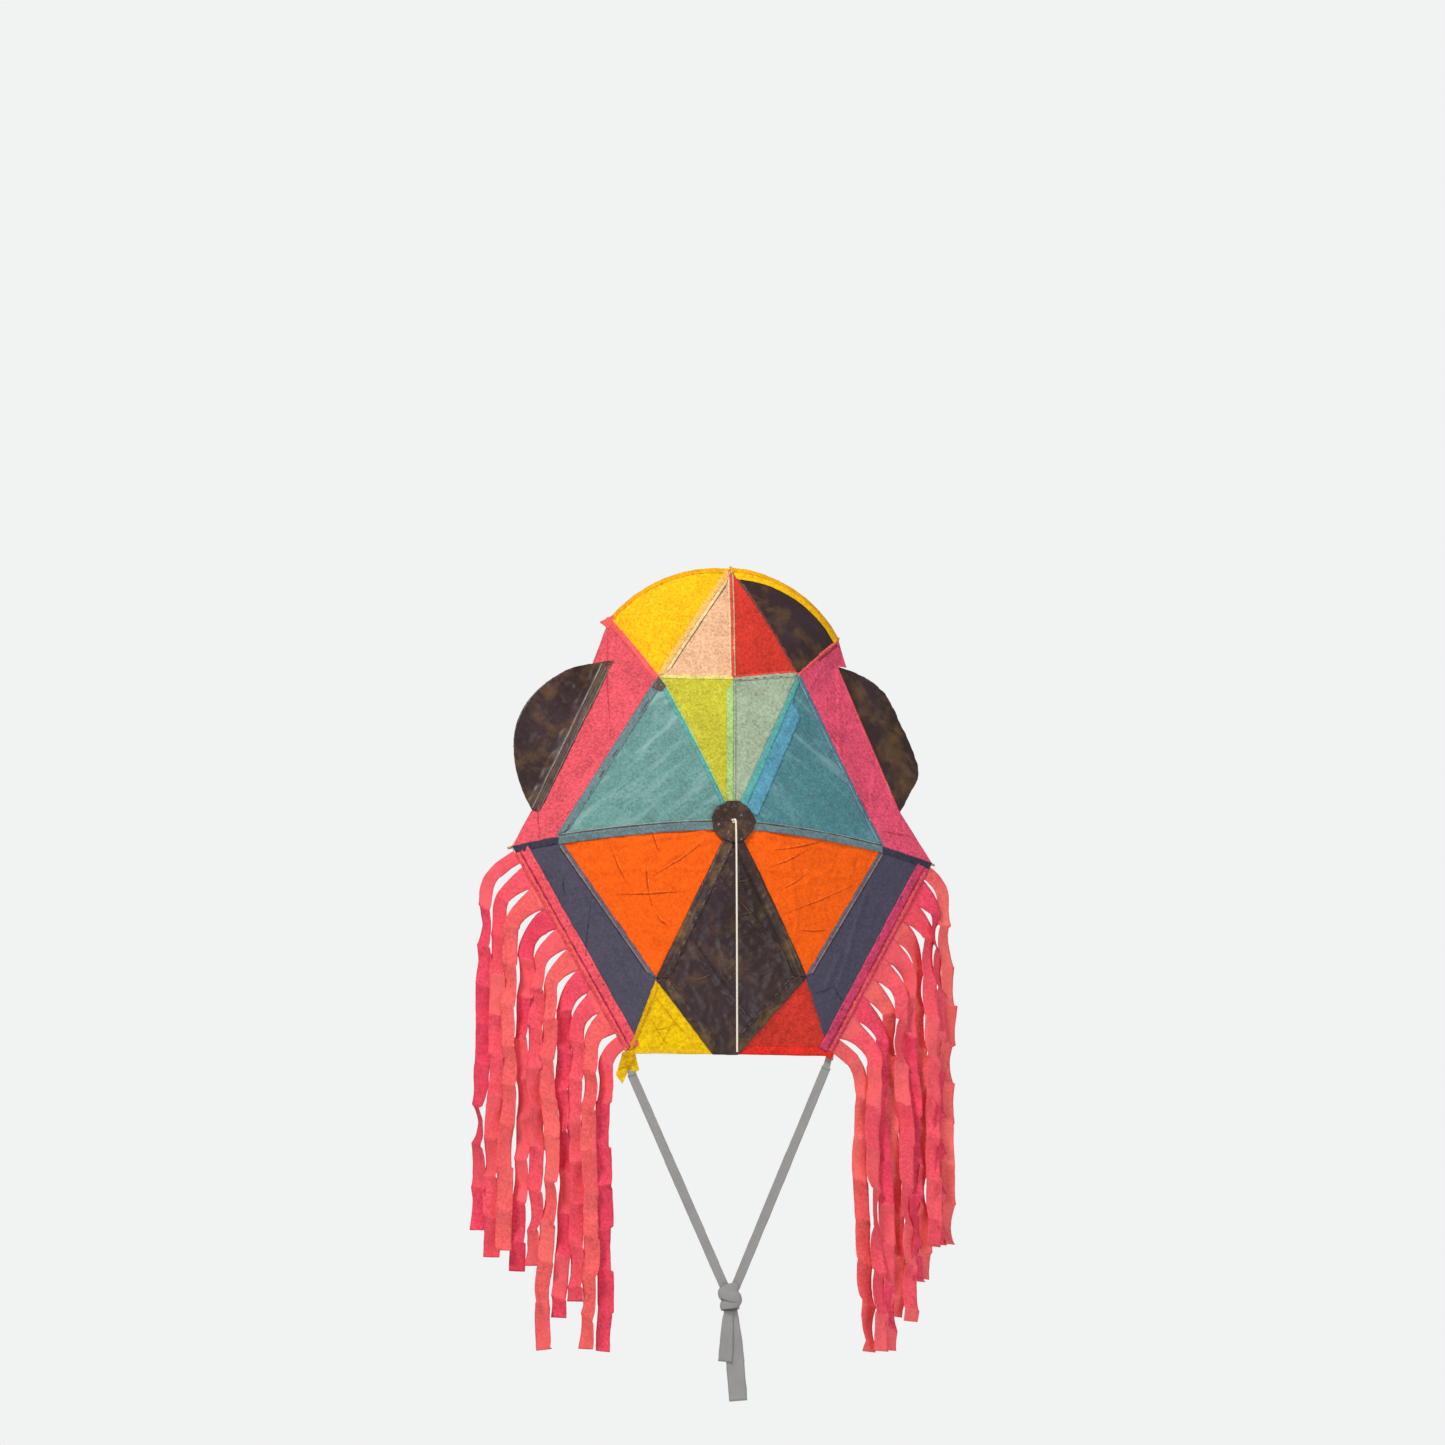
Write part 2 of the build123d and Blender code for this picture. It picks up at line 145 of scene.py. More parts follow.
class Link:
    """A node's output, which can be added, multiplied and so on in a material's or a mesh's tree."""

    def __init__(self, wiring, socket):
        self.wiring, self.socket = wiring, socket

    def maths(self, operation, *values):
        return self.wiring.node("ShaderNodeMath", {"operation": operation}, dict(enumerate(values)))

    def __add__(self, other):
        return self.maths("ADD", self, other)

    def __radd__(self, other):
        return self.maths("ADD", other, self)

    def __sub__(self, other):
        return self.maths("SUBTRACT", self, other)

    def __rsub__(self, other):
        return self.maths("SUBTRACT", other, self)

    def __mul__(self, other):
        return self.maths("MULTIPLY", self, other)

    def __rmul__(self, other):
        return self.maths("MULTIPLY", other, self)

    def __truediv__(self, other):
        return self.maths("DIVIDE", self, other)

    def clamped(self, low_end=0.0, high_end=1.0, start=0.0, end=1.0):
        """The value between two ends, laid out from start to end."""
        values = {"Value": self, "From Min": low_end, "From Max": high_end, "To Min": start, "To Max": end}
        return self.wiring.node("ShaderNodeMapRange", {"clamp": True}, values)


class Wiring:
    """Makes the nodes of one tree."""

    def __init__(self, tree):
        self.tree = tree

    def node(self, kind, settings=None, values=None, output=0):
        """A new node with its settings, then its sockets' values or links, as the link of one output."""
        made = self.tree.nodes.new(kind)
        for name, value in (settings or {}).items():
            setattr(made, name, value)
        for key, value in (values or {}).items():
            socket = made.inputs[key] if isinstance(key, int) else self.socket_of(made, key)
            if isinstance(value, Link):
                self.tree.links.new(value.socket, socket)
            else:
                socket.default_value = value
        return None if output is None else Link(self, made.outputs[output])

    def socket_of(self, made, key):
        """The socket with that identifier or, failing that, with that name."""
        for socket in made.inputs:
            if socket.identifier == key:
                return socket
        return made.inputs[key]

    def noise(self, place, scale, detail=2.0, roughness=0.5, distortion=0.0):
        values = {
            "Vector": place,
            "Scale": scale,
            "Detail": detail,
            "Roughness": roughness,
            "Distortion": distortion,
        }
        return self.node("ShaderNodeTexNoise", {}, values)

    def mixed(self, share, first, second):
        """The colour between two, by share."""
        values = {"Factor_Float": share, "A_Color": self.solid(first), "B_Color": self.solid(second)}
        return self.node("ShaderNodeMix", {"data_type": "RGBA"}, values, 2)

    def solid(self, value):
        return value if isinstance(value, Link) else (*value, 1.0)

    def vector(self, operation, first, second=None, scale=None):
        values = {0: first}
        if second is not None:
            values[1] = second
        if scale is not None:
            values["Scale"] = scale
        return self.node("ShaderNodeVectorMath", {"operation": operation}, values)

    def mapped(self, place, scale, turn=(0, 0, 0)):
        """Coordinates turned and then stretched."""
        values = {"Vector": place, "Scale": tuple(1 / c for c in scale), "Rotation": turn}
        return self.node("ShaderNodeMapping", {"vector_type": "TEXTURE"}, values)


def shaded(base, factor):
    """A colour made darker or paler."""
    return tuple(min(1.0, c * factor) for c in base)


def finish_of(name, roughness, look, bump_depth=0.0, **fixed):
    """A material whose look function returns its colour, its bump height and, if it varies, its roughness."""
    if name in bpy.data.materials:
        return bpy.data.materials[name]
    material = bpy.data.materials.new(name)
    material.use_nodes = True
    tree = material.node_tree
    tree.nodes.clear()
    wiring = Wiring(tree)
    place = wiring.node("ShaderNodeTexCoord", output="Object")
    paint, height, rough = look(wiring, place)
    values = {"Base Color": paint, "Roughness": roughness if rough is None else rough, **fixed}
    if height is not None:
        bump = {"Strength": 1.0, "Distance": bump_depth, "Height": height}
        values["Normal"] = wiring.node("ShaderNodeBump", {}, bump)
    surface = wiring.node("ShaderNodeBsdfPrincipled", {}, values)
    wiring.node("ShaderNodeOutputMaterial", {}, {"Surface": surface}, None)
    return material


def tissue(name, base, streak=0.0, contrast=1.0, turn=0.9, panels=False):
    """Matt tissue with a fine mottle, clouds of pulp and, if asked, pale streaks of painted sheen with painted
    shade beside them, or painted shade and painted light on the panels between folds.
    """

    def look(w, place):
        mottle = w.noise(place, 300, 2.0, 0.7)
        pulp = w.noise(w.mapped(place, (1, 1, 1), (0, turn, 0)), 30, 4.0, 0.6, 0.4)
        fibre = w.noise(w.mapped(place, (150, 150, 520), (0, turn, 0)), 1.0, 2.0)
        light = 0.5 + (mottle - 0.5) * (2.1 * contrast) + (pulp - 0.5) * (1.0 * contrast)
        light = (light + (fibre - 0.5) * (0.8 * contrast)).clamped()
        paint = w.mixed(light, shaded(base, 0.66), shaded(base, 1.3))
        if streak:
            # Pale streaks of painted sheen, with painted shade beside them.
            slanted = w.mapped(place, (1.0, 1.0, 7.0), (0, math.copysign(0.68, -streak), 0))
            long_mark = w.noise(slanted, 8.0, 4.0, 0.62, 0.5)
            pale = tuple(min(1.0, c * 1.1 + 0.16) for c in base)
            deep = shaded(base, 0.72)
            paint = w.mixed(long_mark.clamped(0.52, 0.3) * 0.5 * abs(streak), paint, deep)
            paint = w.mixed(long_mark.clamped(0.5, 0.74) * abs(streak), paint, pale)
        if panels:
            panel = w.node("ShaderNodeAttribute", {"attribute_name": "panel"}, output="Fac")
            # Painted shade on some fold panels and painted light on others.
            tone = w.node("ShaderNodeTexWhiteNoise", {"noise_dimensions": "1D"}, {"W": panel * 1.37})
            painted_light = w.node("ShaderNodeTexWhiteNoise", {"noise_dimensions": "1D"}, {"W": panel * 2.11 + 5.0})
            paint = w.mixed(tone * 0.36, paint, shaded((base[0], base[1] * 0.55, base[2] * 0.85), 0.72))
            paint = w.mixed(painted_light.clamped(0.5, 1.0) * 0.42, paint, tint(242, 120, 112))
        return paint, mottle * 0.5 + fibre * 0.5, None

    return finish_of(name, 0.82, look, 0.0004, **{"Specular IOR Level": 0.18})


LAPS = {
    "Lapped yellow": (226, 160, 6),
    "Lapped cream": (232, 178, 92),
    "Ivory lap": (224, 196, 146),
    "Pale lemon lap": (214, 200, 116),
    "Lapped red": (214, 74, 70),
    "Dusk lap": (98, 124, 130),
    "Brown crease": (92, 72, 66),
    "Slate blue lap": (78, 118, 138),
    "Pale teal crease": (136, 158, 160),
    "Mint lap": (158, 190, 116),
    "Pink shade": (184, 56, 78),
    "Smudged lap": (150, 52, 76),
    "Orange shade": (206, 62, 4),
    "Orange light": (255, 132, 48),
    "Lapped lemon": (214, 166, 4),
    "Bright red lap": (222, 44, 34),
    "Slate ridge": (142, 124, 122),
    "Grey slate": (96, 94, 108),
    "Dusk slate": (58, 56, 74),
    "Magenta lap": (204, 66, 104),
}


def lap(name):
    """Tissue of one of the tints that edges, folds and creases show; some of them are painted shade or painted
    highlights.
    """
    return tissue(name, tint(*LAPS[name]))


def glossy_black(name, base, painted_sheen_share=0.5):
    """Thin black paper with a polished face: plum in places, and with patches of brown painted sheen on its
    crushed folds.
    """

    def look(w, place):
        painted_light = w.noise(place, 24, 6.0, 0.66, 0.3).clamped(0.5, 0.68)
        plum = w.noise(place, 9, 2.0).clamped(0.42, 0.62)
        fine = w.noise(place, 260, 3.0)
        paint = w.mixed(fine, shaded(base, 0.5), shaded(base, 1.0))
        paint = w.mixed(plum * 0.6, paint, tint(58, 40, 50))
        # Brown painted sheen over the patches.
        paint = w.mixed(painted_light * painted_sheen_share, paint, tint(118, 86, 48))
        rough = w.noise(place, 60, 3.0).clamped(0.3, 0.7, 0.3, 0.46)
        return paint, fine, rough

    return finish_of(name, 0.4, look, 0.00012, **{"Specular IOR Level": 0.34})


def bamboo(name, base, spacing):
    """Split bamboo: long fibres, with a dark ring at each joint."""

    def look(w, place):
        run = w.node("ShaderNodeAttribute", {"attribute_name": "run"}, output="Fac")
        grain = w.noise(w.mapped(place, (900, 900, 60)), 1.0, 3.0)
        near = run.maths("PINGPONG", run, spacing / 2)
        ring = near.clamped(spacing / 2 - 0.004, spacing / 2)
        blotch = w.noise(place, 40, 3.0)
        paint = w.mixed(grain, shaded(base, 0.72), shaded(base, 1.15))
        paint = w.mixed(blotch.clamped(0.45, 0.8) * 0.5, paint, shaded(base, 0.6))
        return w.mixed(ring * 0.75, paint, shaded(base, 0.34)), grain, None

    return finish_of(name, 0.55, look, 0.0002)


def twine(name, base):
    """Spun cotton with small dark gaps between its fibres."""

    def look(w, place):
        fuzz = w.noise(place, 1500, 3.0)
        soiled = w.noise(place, 30, 3.0)
        paint = w.mixed(fuzz, shaded(base, 0.8), shaded(base, 1.08))
        return w.mixed(soiled.clamped(0.5, 0.85) * 0.35, paint, shaded(base, 0.7)), fuzz, None

    return finish_of(name, 0.85, look, 0.0002)


def woven(name, base):
    """Plain-woven ribbon cloth."""

    def look(w, place):
        weave = {"Vector": place, "Scale": 420, "Distortion": 0.6}
        across = w.node("ShaderNodeTexWave", {"bands_direction": "X"}, weave)
        down = w.node("ShaderNodeTexWave", {"bands_direction": "Z"}, weave)
        thread = across * 0.5 + down * 0.5
        cloud = w.noise(place, 45, 4.0)
        light = (thread * 0.55 + cloud * 0.6).clamped(0.2, 0.95)
        return w.mixed(light, shaded(base, 0.8), shaded(base, 1.16)), thread, None

    return finish_of(name, 0.78, look, 0.0003)


def matt(name, base):
    """The studio floor."""

    def look(w, place):
        return w.mixed(w.noise(place, 3, 3.0), shaded(base, 0.97), base), None, None

    return finish_of(name, 0.9, look, **{"Emission Color": (*base, 1.0), "Emission Strength": 0.3})


# ------------------------------------------------------------------ the sail's shape, in millimetres


def at(x, y, z):
    """A point or direction in space."""
    return np.array([x, y, z], float)


HUB = at(0, 0, 0)
NOSE = at(5, 54, 363)
TOP_LEFT, TOP_RIGHT = at(-149, 96, 302), at(151, 96, 288)
SIDE_LEFT, SIDE_RIGHT = at(-270, 85, -16), at(267, 85, -17)
BOTTOM_LEFT, BOTTOM_RIGHT = at(-124, 51, -287), at(127, 51, -282)
HUMMER_TOP_LEFT, HUMMER_FOOT_LEFT = at(-157, 90, 237), at(-244, 88, 35)
HUMMER_TOP_RIGHT, HUMMER_FOOT_RIGHT = at(148.5, 90, 249), at(227.5, 88, 50)
STAND_OFF = 4.2
CORD_FORWARD = 3.2
CROSSING_PITCH = 4.6
BOW_BACK = 5.9
HEADER_WIDTH = 14

# Flat seam corners, across and up
ring = {
    "hub": HUB[[0, 2]],
    "nose": NOSE[[0, 2]],
    "top_left": TOP_LEFT[[0, 2]],
    "top_right": TOP_RIGHT[[0, 2]],
    "side_left": SIDE_LEFT[[0, 2]],
    "side_right": SIDE_RIGHT[[0, 2]],
    "bottom_left": BOTTOM_LEFT[[0, 2]],
    "bottom_right": BOTTOM_RIGHT[[0, 2]],
    "in_top_left": (-90, 203),
    "in_top_right": (90, 217),
    "in_side_left": (-215, -11),
    "in_side_right": (198, -10),
    "in_bottom_left": (-92, -199),
    "in_bottom_right": (94, -190),
    "mid_top": (3, 197),
    "hummer_top_left": HUMMER_TOP_LEFT[[0, 2]],
    "hummer_foot_left": HUMMER_FOOT_LEFT[[0, 2]],
    "hummer_top_right": HUMMER_TOP_RIGHT[[0, 2]],
    "hummer_foot_right": HUMMER_FOOT_RIGHT[[0, 2]],
    "flap_left": (-169.5, 238.5),
    "flap_right": (161.5, 251.5),
    "foot_left": (-18.5, -285),
    "foot_right": (11.5, -284.5),
}
ring = {name: np.array(point, float) for name, point in ring.items()}


def arc_through(start, middle, end, count):
    """Points of the circle through three points."""
    a, b = start - end, middle - end
    normal = np.cross(a, b)
    centre = end + np.cross(a @ a * b - b @ b * a, normal) / (2 * normal @ normal)
    first, last = start - centre, end - centre
    side = np.cross(normal / np.linalg.norm(normal), first)
    sweep = math.atan2(last @ side, last @ first)
    if (middle - centre) @ (np.cos(sweep / 2) * first + np.sin(sweep / 2) * side) < 0:
        sweep -= math.copysign(2 * math.pi, sweep)
    turn = np.linspace(0, sweep, count)[:, None]
    return centre + np.cos(turn) * first + np.sin(turn) * side


bow_curve = arc_through(TOP_LEFT, NOSE, TOP_RIGHT, 65)
nose_at = int(np.argmin(np.linalg.norm(bow_curve - NOSE, axis=1)))
bow_left, bow_right = bow_curve[: nose_at + 1], bow_curve[nose_at:]

# Each sector of the sail lies between two canes: its canes' tips and the outer edge between them.
sectors = [
    (NOSE, TOP_RIGHT, bow_right),
    (TOP_RIGHT, SIDE_RIGHT, np.array([TOP_RIGHT, HUMMER_TOP_RIGHT, HUMMER_FOOT_RIGHT, SIDE_RIGHT])),
    (SIDE_RIGHT, BOTTOM_RIGHT, np.array([SIDE_RIGHT, BOTTOM_RIGHT])),
    (BOTTOM_RIGHT, BOTTOM_LEFT, np.array([BOTTOM_RIGHT, BOTTOM_LEFT])),
    (BOTTOM_LEFT, SIDE_LEFT, np.array([BOTTOM_LEFT, SIDE_LEFT])),
    (SIDE_LEFT, TOP_LEFT, np.array([SIDE_LEFT, HUMMER_FOOT_LEFT, HUMMER_TOP_LEFT, TOP_LEFT])),
    (TOP_LEFT, NOSE, bow_left),
]


def shares_of(x, z, first, second):
    """How far a flat point lies along each of a sector's two canes."""
    spread = first[0] * second[2] - first[2] * second[0]
    return (x * second[2] - z * second[0]) / spread, (first[0] * z - first[2] * x) / spread


def smooth(share):
    """An even start and stop between 0 and 1."""
    share = np.clip(share, 0, 1)
    return share * share * (3 - 2 * share)


def depth_at(x, z):
    """How far back the canes' surface lies: straight from cane to cane and true to the edge."""
    x, z = np.atleast_1d(np.asarray(x, float)), np.atleast_1d(np.asarray(z, float))
    depth, best = np.zeros(x.shape), np.full(x.shape, -np.inf)
    for first, second, edge in sectors:
        a, b = shares_of(x, z, first, second)
        inside = np.minimum(a, b)
        out = np.maximum(a + b, 1e-9)
        along = np.clip(b / out, 0, 1)
        ruled = out * (a * first[1] + b * second[1])
        edge_a, edge_b = shares_of(edge[:, 0], edge[:, 2], first, second)
        edge_out = edge_a + edge_b
        order = np.argsort(edge_b / edge_out)
        miss = edge[:, 1] - edge_out * (edge_a * first[1] + edge_b * second[1])
        reach = np.interp(along, (edge_b / edge_out)[order], edge_out[order])
        mend = np.interp(along, (edge_b / edge_out)[order], miss[order])
        here = ruled + mend * smooth((out - 0.55) / (reach - 0.55))
        better = inside > best
        depth[better], best[better] = here[better], inside[better]
    return depth


# ------------------------------------------------------------------ random relief


def cell_number(i, k, seed):
    """A repeatable number from 0 to 1 for each whole-number cell."""
    mask = 0xFFFFFFFF
    mixed = (i * 374761393 + k * 668265263 + seed * 1274126177) & mask
    mixed = ((mixed ^ (mixed >> 13)) * 1274126177) & mask
    return ((mixed ^ (mixed >> 16)) & 0xFFFF) / 65535.0


def billow(x, z, size, seed):
    """Smooth random height from -1 to 1 with swells of about that size."""
    fx, fz = x / size, z / size
    i, k = np.floor(fx).astype(np.int64), np.floor(fz).astype(np.int64)
    u, v = smooth(fx - i), smooth(fz - k)
    near = cell_number(i, k, seed) * (1 - u) + cell_number(i + 1, k, seed) * u
    far = cell_number(i, k + 1, seed) * (1 - u) + cell_number(i + 1, k + 1, seed) * u
    return 2 * (near * (1 - v) + far * v) - 1


def crush(x, z, size, seed):
    """Sharp valleys between facets, as crushed paper has: 0 in a valley and up to about 1 between them."""
    fx = x / size + 0.35 * billow(x, z, size * 1.4, seed + 3)
    fz = z / size + 0.35 * billow(x, z, size * 1.4, seed + 5)
    i, k = np.floor(fx).astype(np.int64), np.floor(fz).astype(np.int64)
    nearest, second = np.full(fx.shape, 9.0), np.full(fx.shape, 9.0)
    for di in (-1, 0, 1):
        for dk in (-1, 0, 1):
            px = i + di + cell_number(i + di, k + dk, seed)
            pz = k + dk + cell_number(i + di, k + dk, seed + 11)
            distance = np.hypot(fx - px, fz - pz)
            second = np.minimum(second, np.maximum(nearest, distance))
            nearest = np.minimum(nearest, distance)
    return second - nearest


def from_line(x, z, start, end):
    """Distance of flat points from a line's stretch, and how far along it they are."""
    run = np.asarray(end, float) - np.asarray(start, float)
    share = np.clip(((x - start[0]) * run[0] + (z - start[1]) * run[1]) / (run @ run), 0, 1)
    return np.hypot(x - start[0] - share * run[0], z - start[1] - share * run[1]), share


def fold(start, end, height, width=4.2):
    """A crease between two flat points, standing that high."""

    def relief(x, z):
        bend = 2.2 * billow(x, z, 31, int(abs(start[0]) + 3 * abs(end[1])))
        distance, share = from_line(x + bend, z + bend, start, end)
        ends = smooth(share * 6 + 0.1) * smooth((1 - share) * 6 + 0.1)
        return 1.8 * height * np.clip(1 - distance / width, 0, 1) * ends

    return relief


def swell(height, size, seed):
    """Soft swells of about that size."""
    return lambda x, z: height * billow(x, z, size, seed)


def pull(corner, height, reach, count, seed):
    """Wrinkles that fan out from a corner where the paper is pulled tight."""

    def relief(x, z):
        across, up = x - corner[0], z - corner[1]
        away = np.hypot(across, up)
        turn = np.arctan2(up, across)
        lines = np.abs(np.sin(turn * count + 1.6 * billow(turn * 60, away, 22, seed))) ** 0.7
        return height * (0.5 - lines) * np.exp(-away / reach) * smooth(away / 12)

    return relief


def crumple(height, size, seed):
    """Facets of crushed paper of about that size."""

    def relief(x, z):
        sharp = np.minimum(crush(x, z, size, seed), 0.34) / 0.34
        small = np.minimum(crush(x, z, size * 0.42, seed + 2), 0.4) / 0.4
        return height * (1.6 * (sharp - 0.7) + 0.8 * (small - 0.6) + 0.5 * billow(x, z, size * 0.3, seed + 4))

    return relief


CANE_TIPS = (NOSE, TOP_LEFT, TOP_RIGHT, SIDE_LEFT, SIDE_RIGHT, BOTTOM_LEFT, BOTTOM_RIGHT)


def sail_relief(x, z):
    """The relief that runs on from patch to patch: swells, and a ridge where a cane lies behind."""
    height = 0.9 * billow(x, z, 74, 1) + 0.4 * billow(x, z, 27, 2) + 0.13 * billow(x, z, 9, 3)
    for tip in CANE_TIPS:
        distance, _ = from_line(x, z, HUB[[0, 2]], tip[[0, 2]])
        height = height + 0.9 * np.exp(-((distance / 2.6) ** 2)) - 0.6 * np.exp(-((distance / 9.0) ** 2))
    return height


# ------------------------------------------------------------------ sheets


def cut_out(outline, pitch, ragged=0.0, seed=0):
    """Triangles that fill a flat outline, with its edge as ragged as asked."""
    outline = np.asarray(outline, float)
    rim = []
    for start, end in zip(outline, np.roll(outline, -1, axis=0)):
        run = end - start
        size = np.linalg.norm(run)
        steps = max(1, int(round(size / pitch)))
        square = np.array([run[1], -run[0]]) / max(size, 1e-9)
        for i in range(steps):
            point = start + run * i / steps
            if i and ragged:
                point = point + square * ragged * (
                    0.7 * billow(point[0], point[1], 14, seed) + 0.3 * billow(point[0], point[1], 4, seed + 1)
                )
            rim.append(point)
    rim = np.array(rim)
    lowest, highest = rim.min(0), rim.max(0)
    rows = int((highest[1] - lowest[1]) / (pitch * 0.87)) + 1
    columns = int((highest[0] - lowest[0]) / pitch) + 2
    i, k = np.meshgrid(np.arange(columns), np.arange(rows))
    i, k = i.ravel(), k.ravel()
    x = lowest[0] + (i + 0.5 * (k % 2)) * pitch + 0.3 * pitch * (cell_number(i, k, seed + 5) - 0.5)
    z = lowest[1] + k * pitch * 0.87 + 0.3 * pitch * (cell_number(i, k, seed + 6) - 0.5)
    inside, clear = np.zeros(x.shape, bool), np.full(x.shape, np.inf)
    for start, end in zip(rim, np.roll(rim, -1, axis=0)):
        crosses = (start[1] > z) != (end[1] > z)
        rise = end[1] - start[1] or 1e-12
        inside ^= crosses & (x < start[0] + (end[0] - start[0]) * (z - start[1]) / rise)
    for start, end in zip(rim, np.roll(rim, -1, axis=0)):
        clear = np.minimum(clear, from_line(x, z, start, end)[0])
    keep = inside & (clear > 0.45 * pitch)
    flat = np.vstack([rim, np.column_stack([x[keep], z[keep]])])
    loop = [(i, (i + 1) % len(rim)) for i in range(len(rim))]
    points, _, faces, *_ = delaunay_2d_cdt([Vector(p) for p in flat], loop, [], 1, 1e-6)
    return np.array(points), [list(face) for face in faces]


def plan_area(outline):
    """The area inside a flat outline."""
    x, z = np.asarray(outline, float).T
    return abs(np.dot(x, np.roll(z, -1)) - np.dot(z, np.roll(x, -1))) / 2


def plan_size(outline):
    """The sides of the smallest rectangle that an outline is cut from."""
    outline = np.asarray(outline, float)
    found = None
    for turn in np.radians(np.arange(0, 90, 1.0)):
        spun = outline @ np.array([[np.cos(turn), -np.sin(turn)], [np.sin(turn), np.cos(turn)]])
        width, length_ = np.ptp(spun[:, 0]), np.ptp(spun[:, 1])
        if found is None or width * length_ < found[0] * found[1]:
            found = (width, length_)
    return min(found), max(found)


def mesh_object(name, points, faces, materials, indices=None, smooth_faces=True):
    """A finished object from points in metres, with its place in its mesh."""
    mesh = bpy.data.meshes.new(name)
    mesh.from_pydata([tuple(p) for p in points], [], faces)
    for material in materials:
        mesh.materials.append(material)
    if indices is not None:
        mesh.polygons.foreach_set("material_index", indices)
    mesh.polygons.foreach_set("use_smooth", [smooth_faces] * len(mesh.polygons))
    mesh.update()
    made = bpy.data.objects.new(name, mesh)
    bpy.context.scene.collection.objects.link(made)
    return made


def thicken(piece, thickness):
    """Gives a sheet its thickness, half to each side."""
    solid = piece.modifiers.new("Thickness", "SOLIDIFY")
    solid.thickness = thickness
    solid.offset = 0
    return piece


def widened(outline, lap):
    """An outline moved outwards by that much on every side."""
    outline = np.asarray(outline, float)
    run = np.roll(outline, -1, axis=0) - outline
    run /= np.maximum(np.linalg.norm(run, axis=1), 1e-9)[:, None]
    x, z = outline.T
    turning = np.sign(np.dot(x, np.roll(z, -1)) - np.dot(z, np.roll(x, -1)))
    square = np.column_stack([run[:, 1], -run[:, 0]]) * turning
    both = square + np.roll(square, 1, axis=0)
    reach = lap / np.maximum(0.5 * (both**2).sum(1), 0.8)
    return outline + both * reach[:, None]


def corner_of(point):
    """A flat point, or the seam corner of that name."""
    return ring[point] if isinstance(point, str) else np.asarray(point, float)


class Sheet:
    """A piece of paper made of its cut shape and of the lapped edges, folds and scraps pasted on it."""

    def __init__(self, name, outline, material, seed, reliefs=(), ragged=0.35, lift=0.0, soften=10.0,
                 lap=1.1):
        self.name, self.seed, self.ragged, self.lift = name, seed, ragged, lift
        self.outline = widened([corner_of(p) for p in outline], lap)
        self.middle = self.outline.mean(0)
        self.reliefs, self.soften = list(reliefs), soften
        self.points, self.faces, self.indices, self.materials = [], [], [], []
        self.area, self.count = 0.0, 0
        self.lay(self.outline, material, 0.0)

    def height(self, x, z):
        """The sail's relief and the sheet's own, which fades towards its edges."""
        clear = np.full(x.shape, np.inf)
        for start, end in zip(self.outline, np.roll(self.outline, -1, axis=0)):
            clear = np.minimum(clear, from_line(x, z, start, end)[0])
        own = sum((relief(x, z) for relief in self.reliefs), np.zeros(x.shape))
        return (sail_relief(x, z) + own * smooth(clear / self.soften + 0.15)) * smooth(np.hypot(x,
                                                                                                z) / 34 + 0.1)

    def lay(self, outline, material, lift, extra=None):
        """Adds one layer of paper over a flat outline, lifted in front of the sheet."""
        pitch = bpy.context.scene.kite_sizes.sheet_pitch / MM
        step = pitch if plan_area(outline) > 2500 else pitch * 0.7
        flat, faces = cut_out(outline, step, self.ragged, self.seed + self.count * 13)
        x, z = flat[:, 0], flat[:, 1]
        y = depth_at(x, z) - STAND_OFF - self.lift - lift - self.height(x, z)
        if extra is not None:
            y = y - extra(x, z)
        start = sum(len(p) for p in self.points)
        self.points.append(np.column_stack([x, y, z]) * MM)
        self.faces += [[i + start for i in face] for face in faces]
        if material not in self.materials:
            self.materials.append(material)
        self.indices += [self.materials.index(material)] * len(faces)
        self.area += plan_area(outline)
        self.count += 1
        return self

    def hem(self, edge, near, far, material, lift=0.35, extra=None, trim=(0, 1)):
        """A strip along an edge of the outline, from one distance inside it to another."""
        start, end = (corner_of(p) for p in edge)
        run, inward = end - start, self.middle - start
        distance = abs(np.cross(run, inward)) / np.linalg.norm(run)
        first = start + run * trim[0]
        last = start + run * trim[1]
        square = inward - run * (inward @ run) / (run @ run)
        square /= np.linalg.norm(square)
        corners = [
            first + (square * near if near < 0 else (self.middle - first) * near / distance),
            last + (square * near if near < 0 else (self.middle - last) * near / distance),
            last + (self.middle - last) * far / distance,
            first + (self.middle - first) * far / distance,
        ]
        centre = ((corners[0] + corners[3]) / 2, (corners[1] + corners[2]) / 2)
        half = abs(far - near) / 2

        def crown(x, z):
            away = from_line(x, z, *centre)[0]
            height = 0.16 * half**0.5 * smooth(1.2 - away / half)
            height = height + 0.16 * billow(x, z, 5.5, self.seed + self.count)
            return height if extra is None else height + extra(x, z)

        return self.lay(corners, material, lift, crown)

    def mark(self, lines, width, material, lift=0.35):
        """Thin tapered strips of paper along flat lines, such as painted shade and painted highlights on the
        sides of creases.
        """
        for start, end in lines:
            start, end = np.asarray(start, float), np.asarray(end, float)
            square = np.array([end[1] - start[1],
                               start[0] - end[0]]) / np.linalg.norm(end - start) * width / 2
            middle = (start + end) / 2 + square * 2.5
            self.lay([start, middle - square, end, middle + square], material, lift)
        return self

    def made(self, slot, node, body="sail"):
        """The finished piece, thickened and tied to its body, with the part it stands for hidden."""
        size = bpy.context.scene.kite_sizes
        piece = mesh_object(self.name, np.vstack(self.points), self.faces, self.materials, self.indices)
        thicken(piece, size.sheet_thickness)
        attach(piece, body)
        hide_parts(node)
        width, length_ = plan_size(self.outline)
        area = self.area
        if area > width * length_:
            length_ = area / width
        return piece


# ------------------------------------------------------------------ meshes grown by node trees


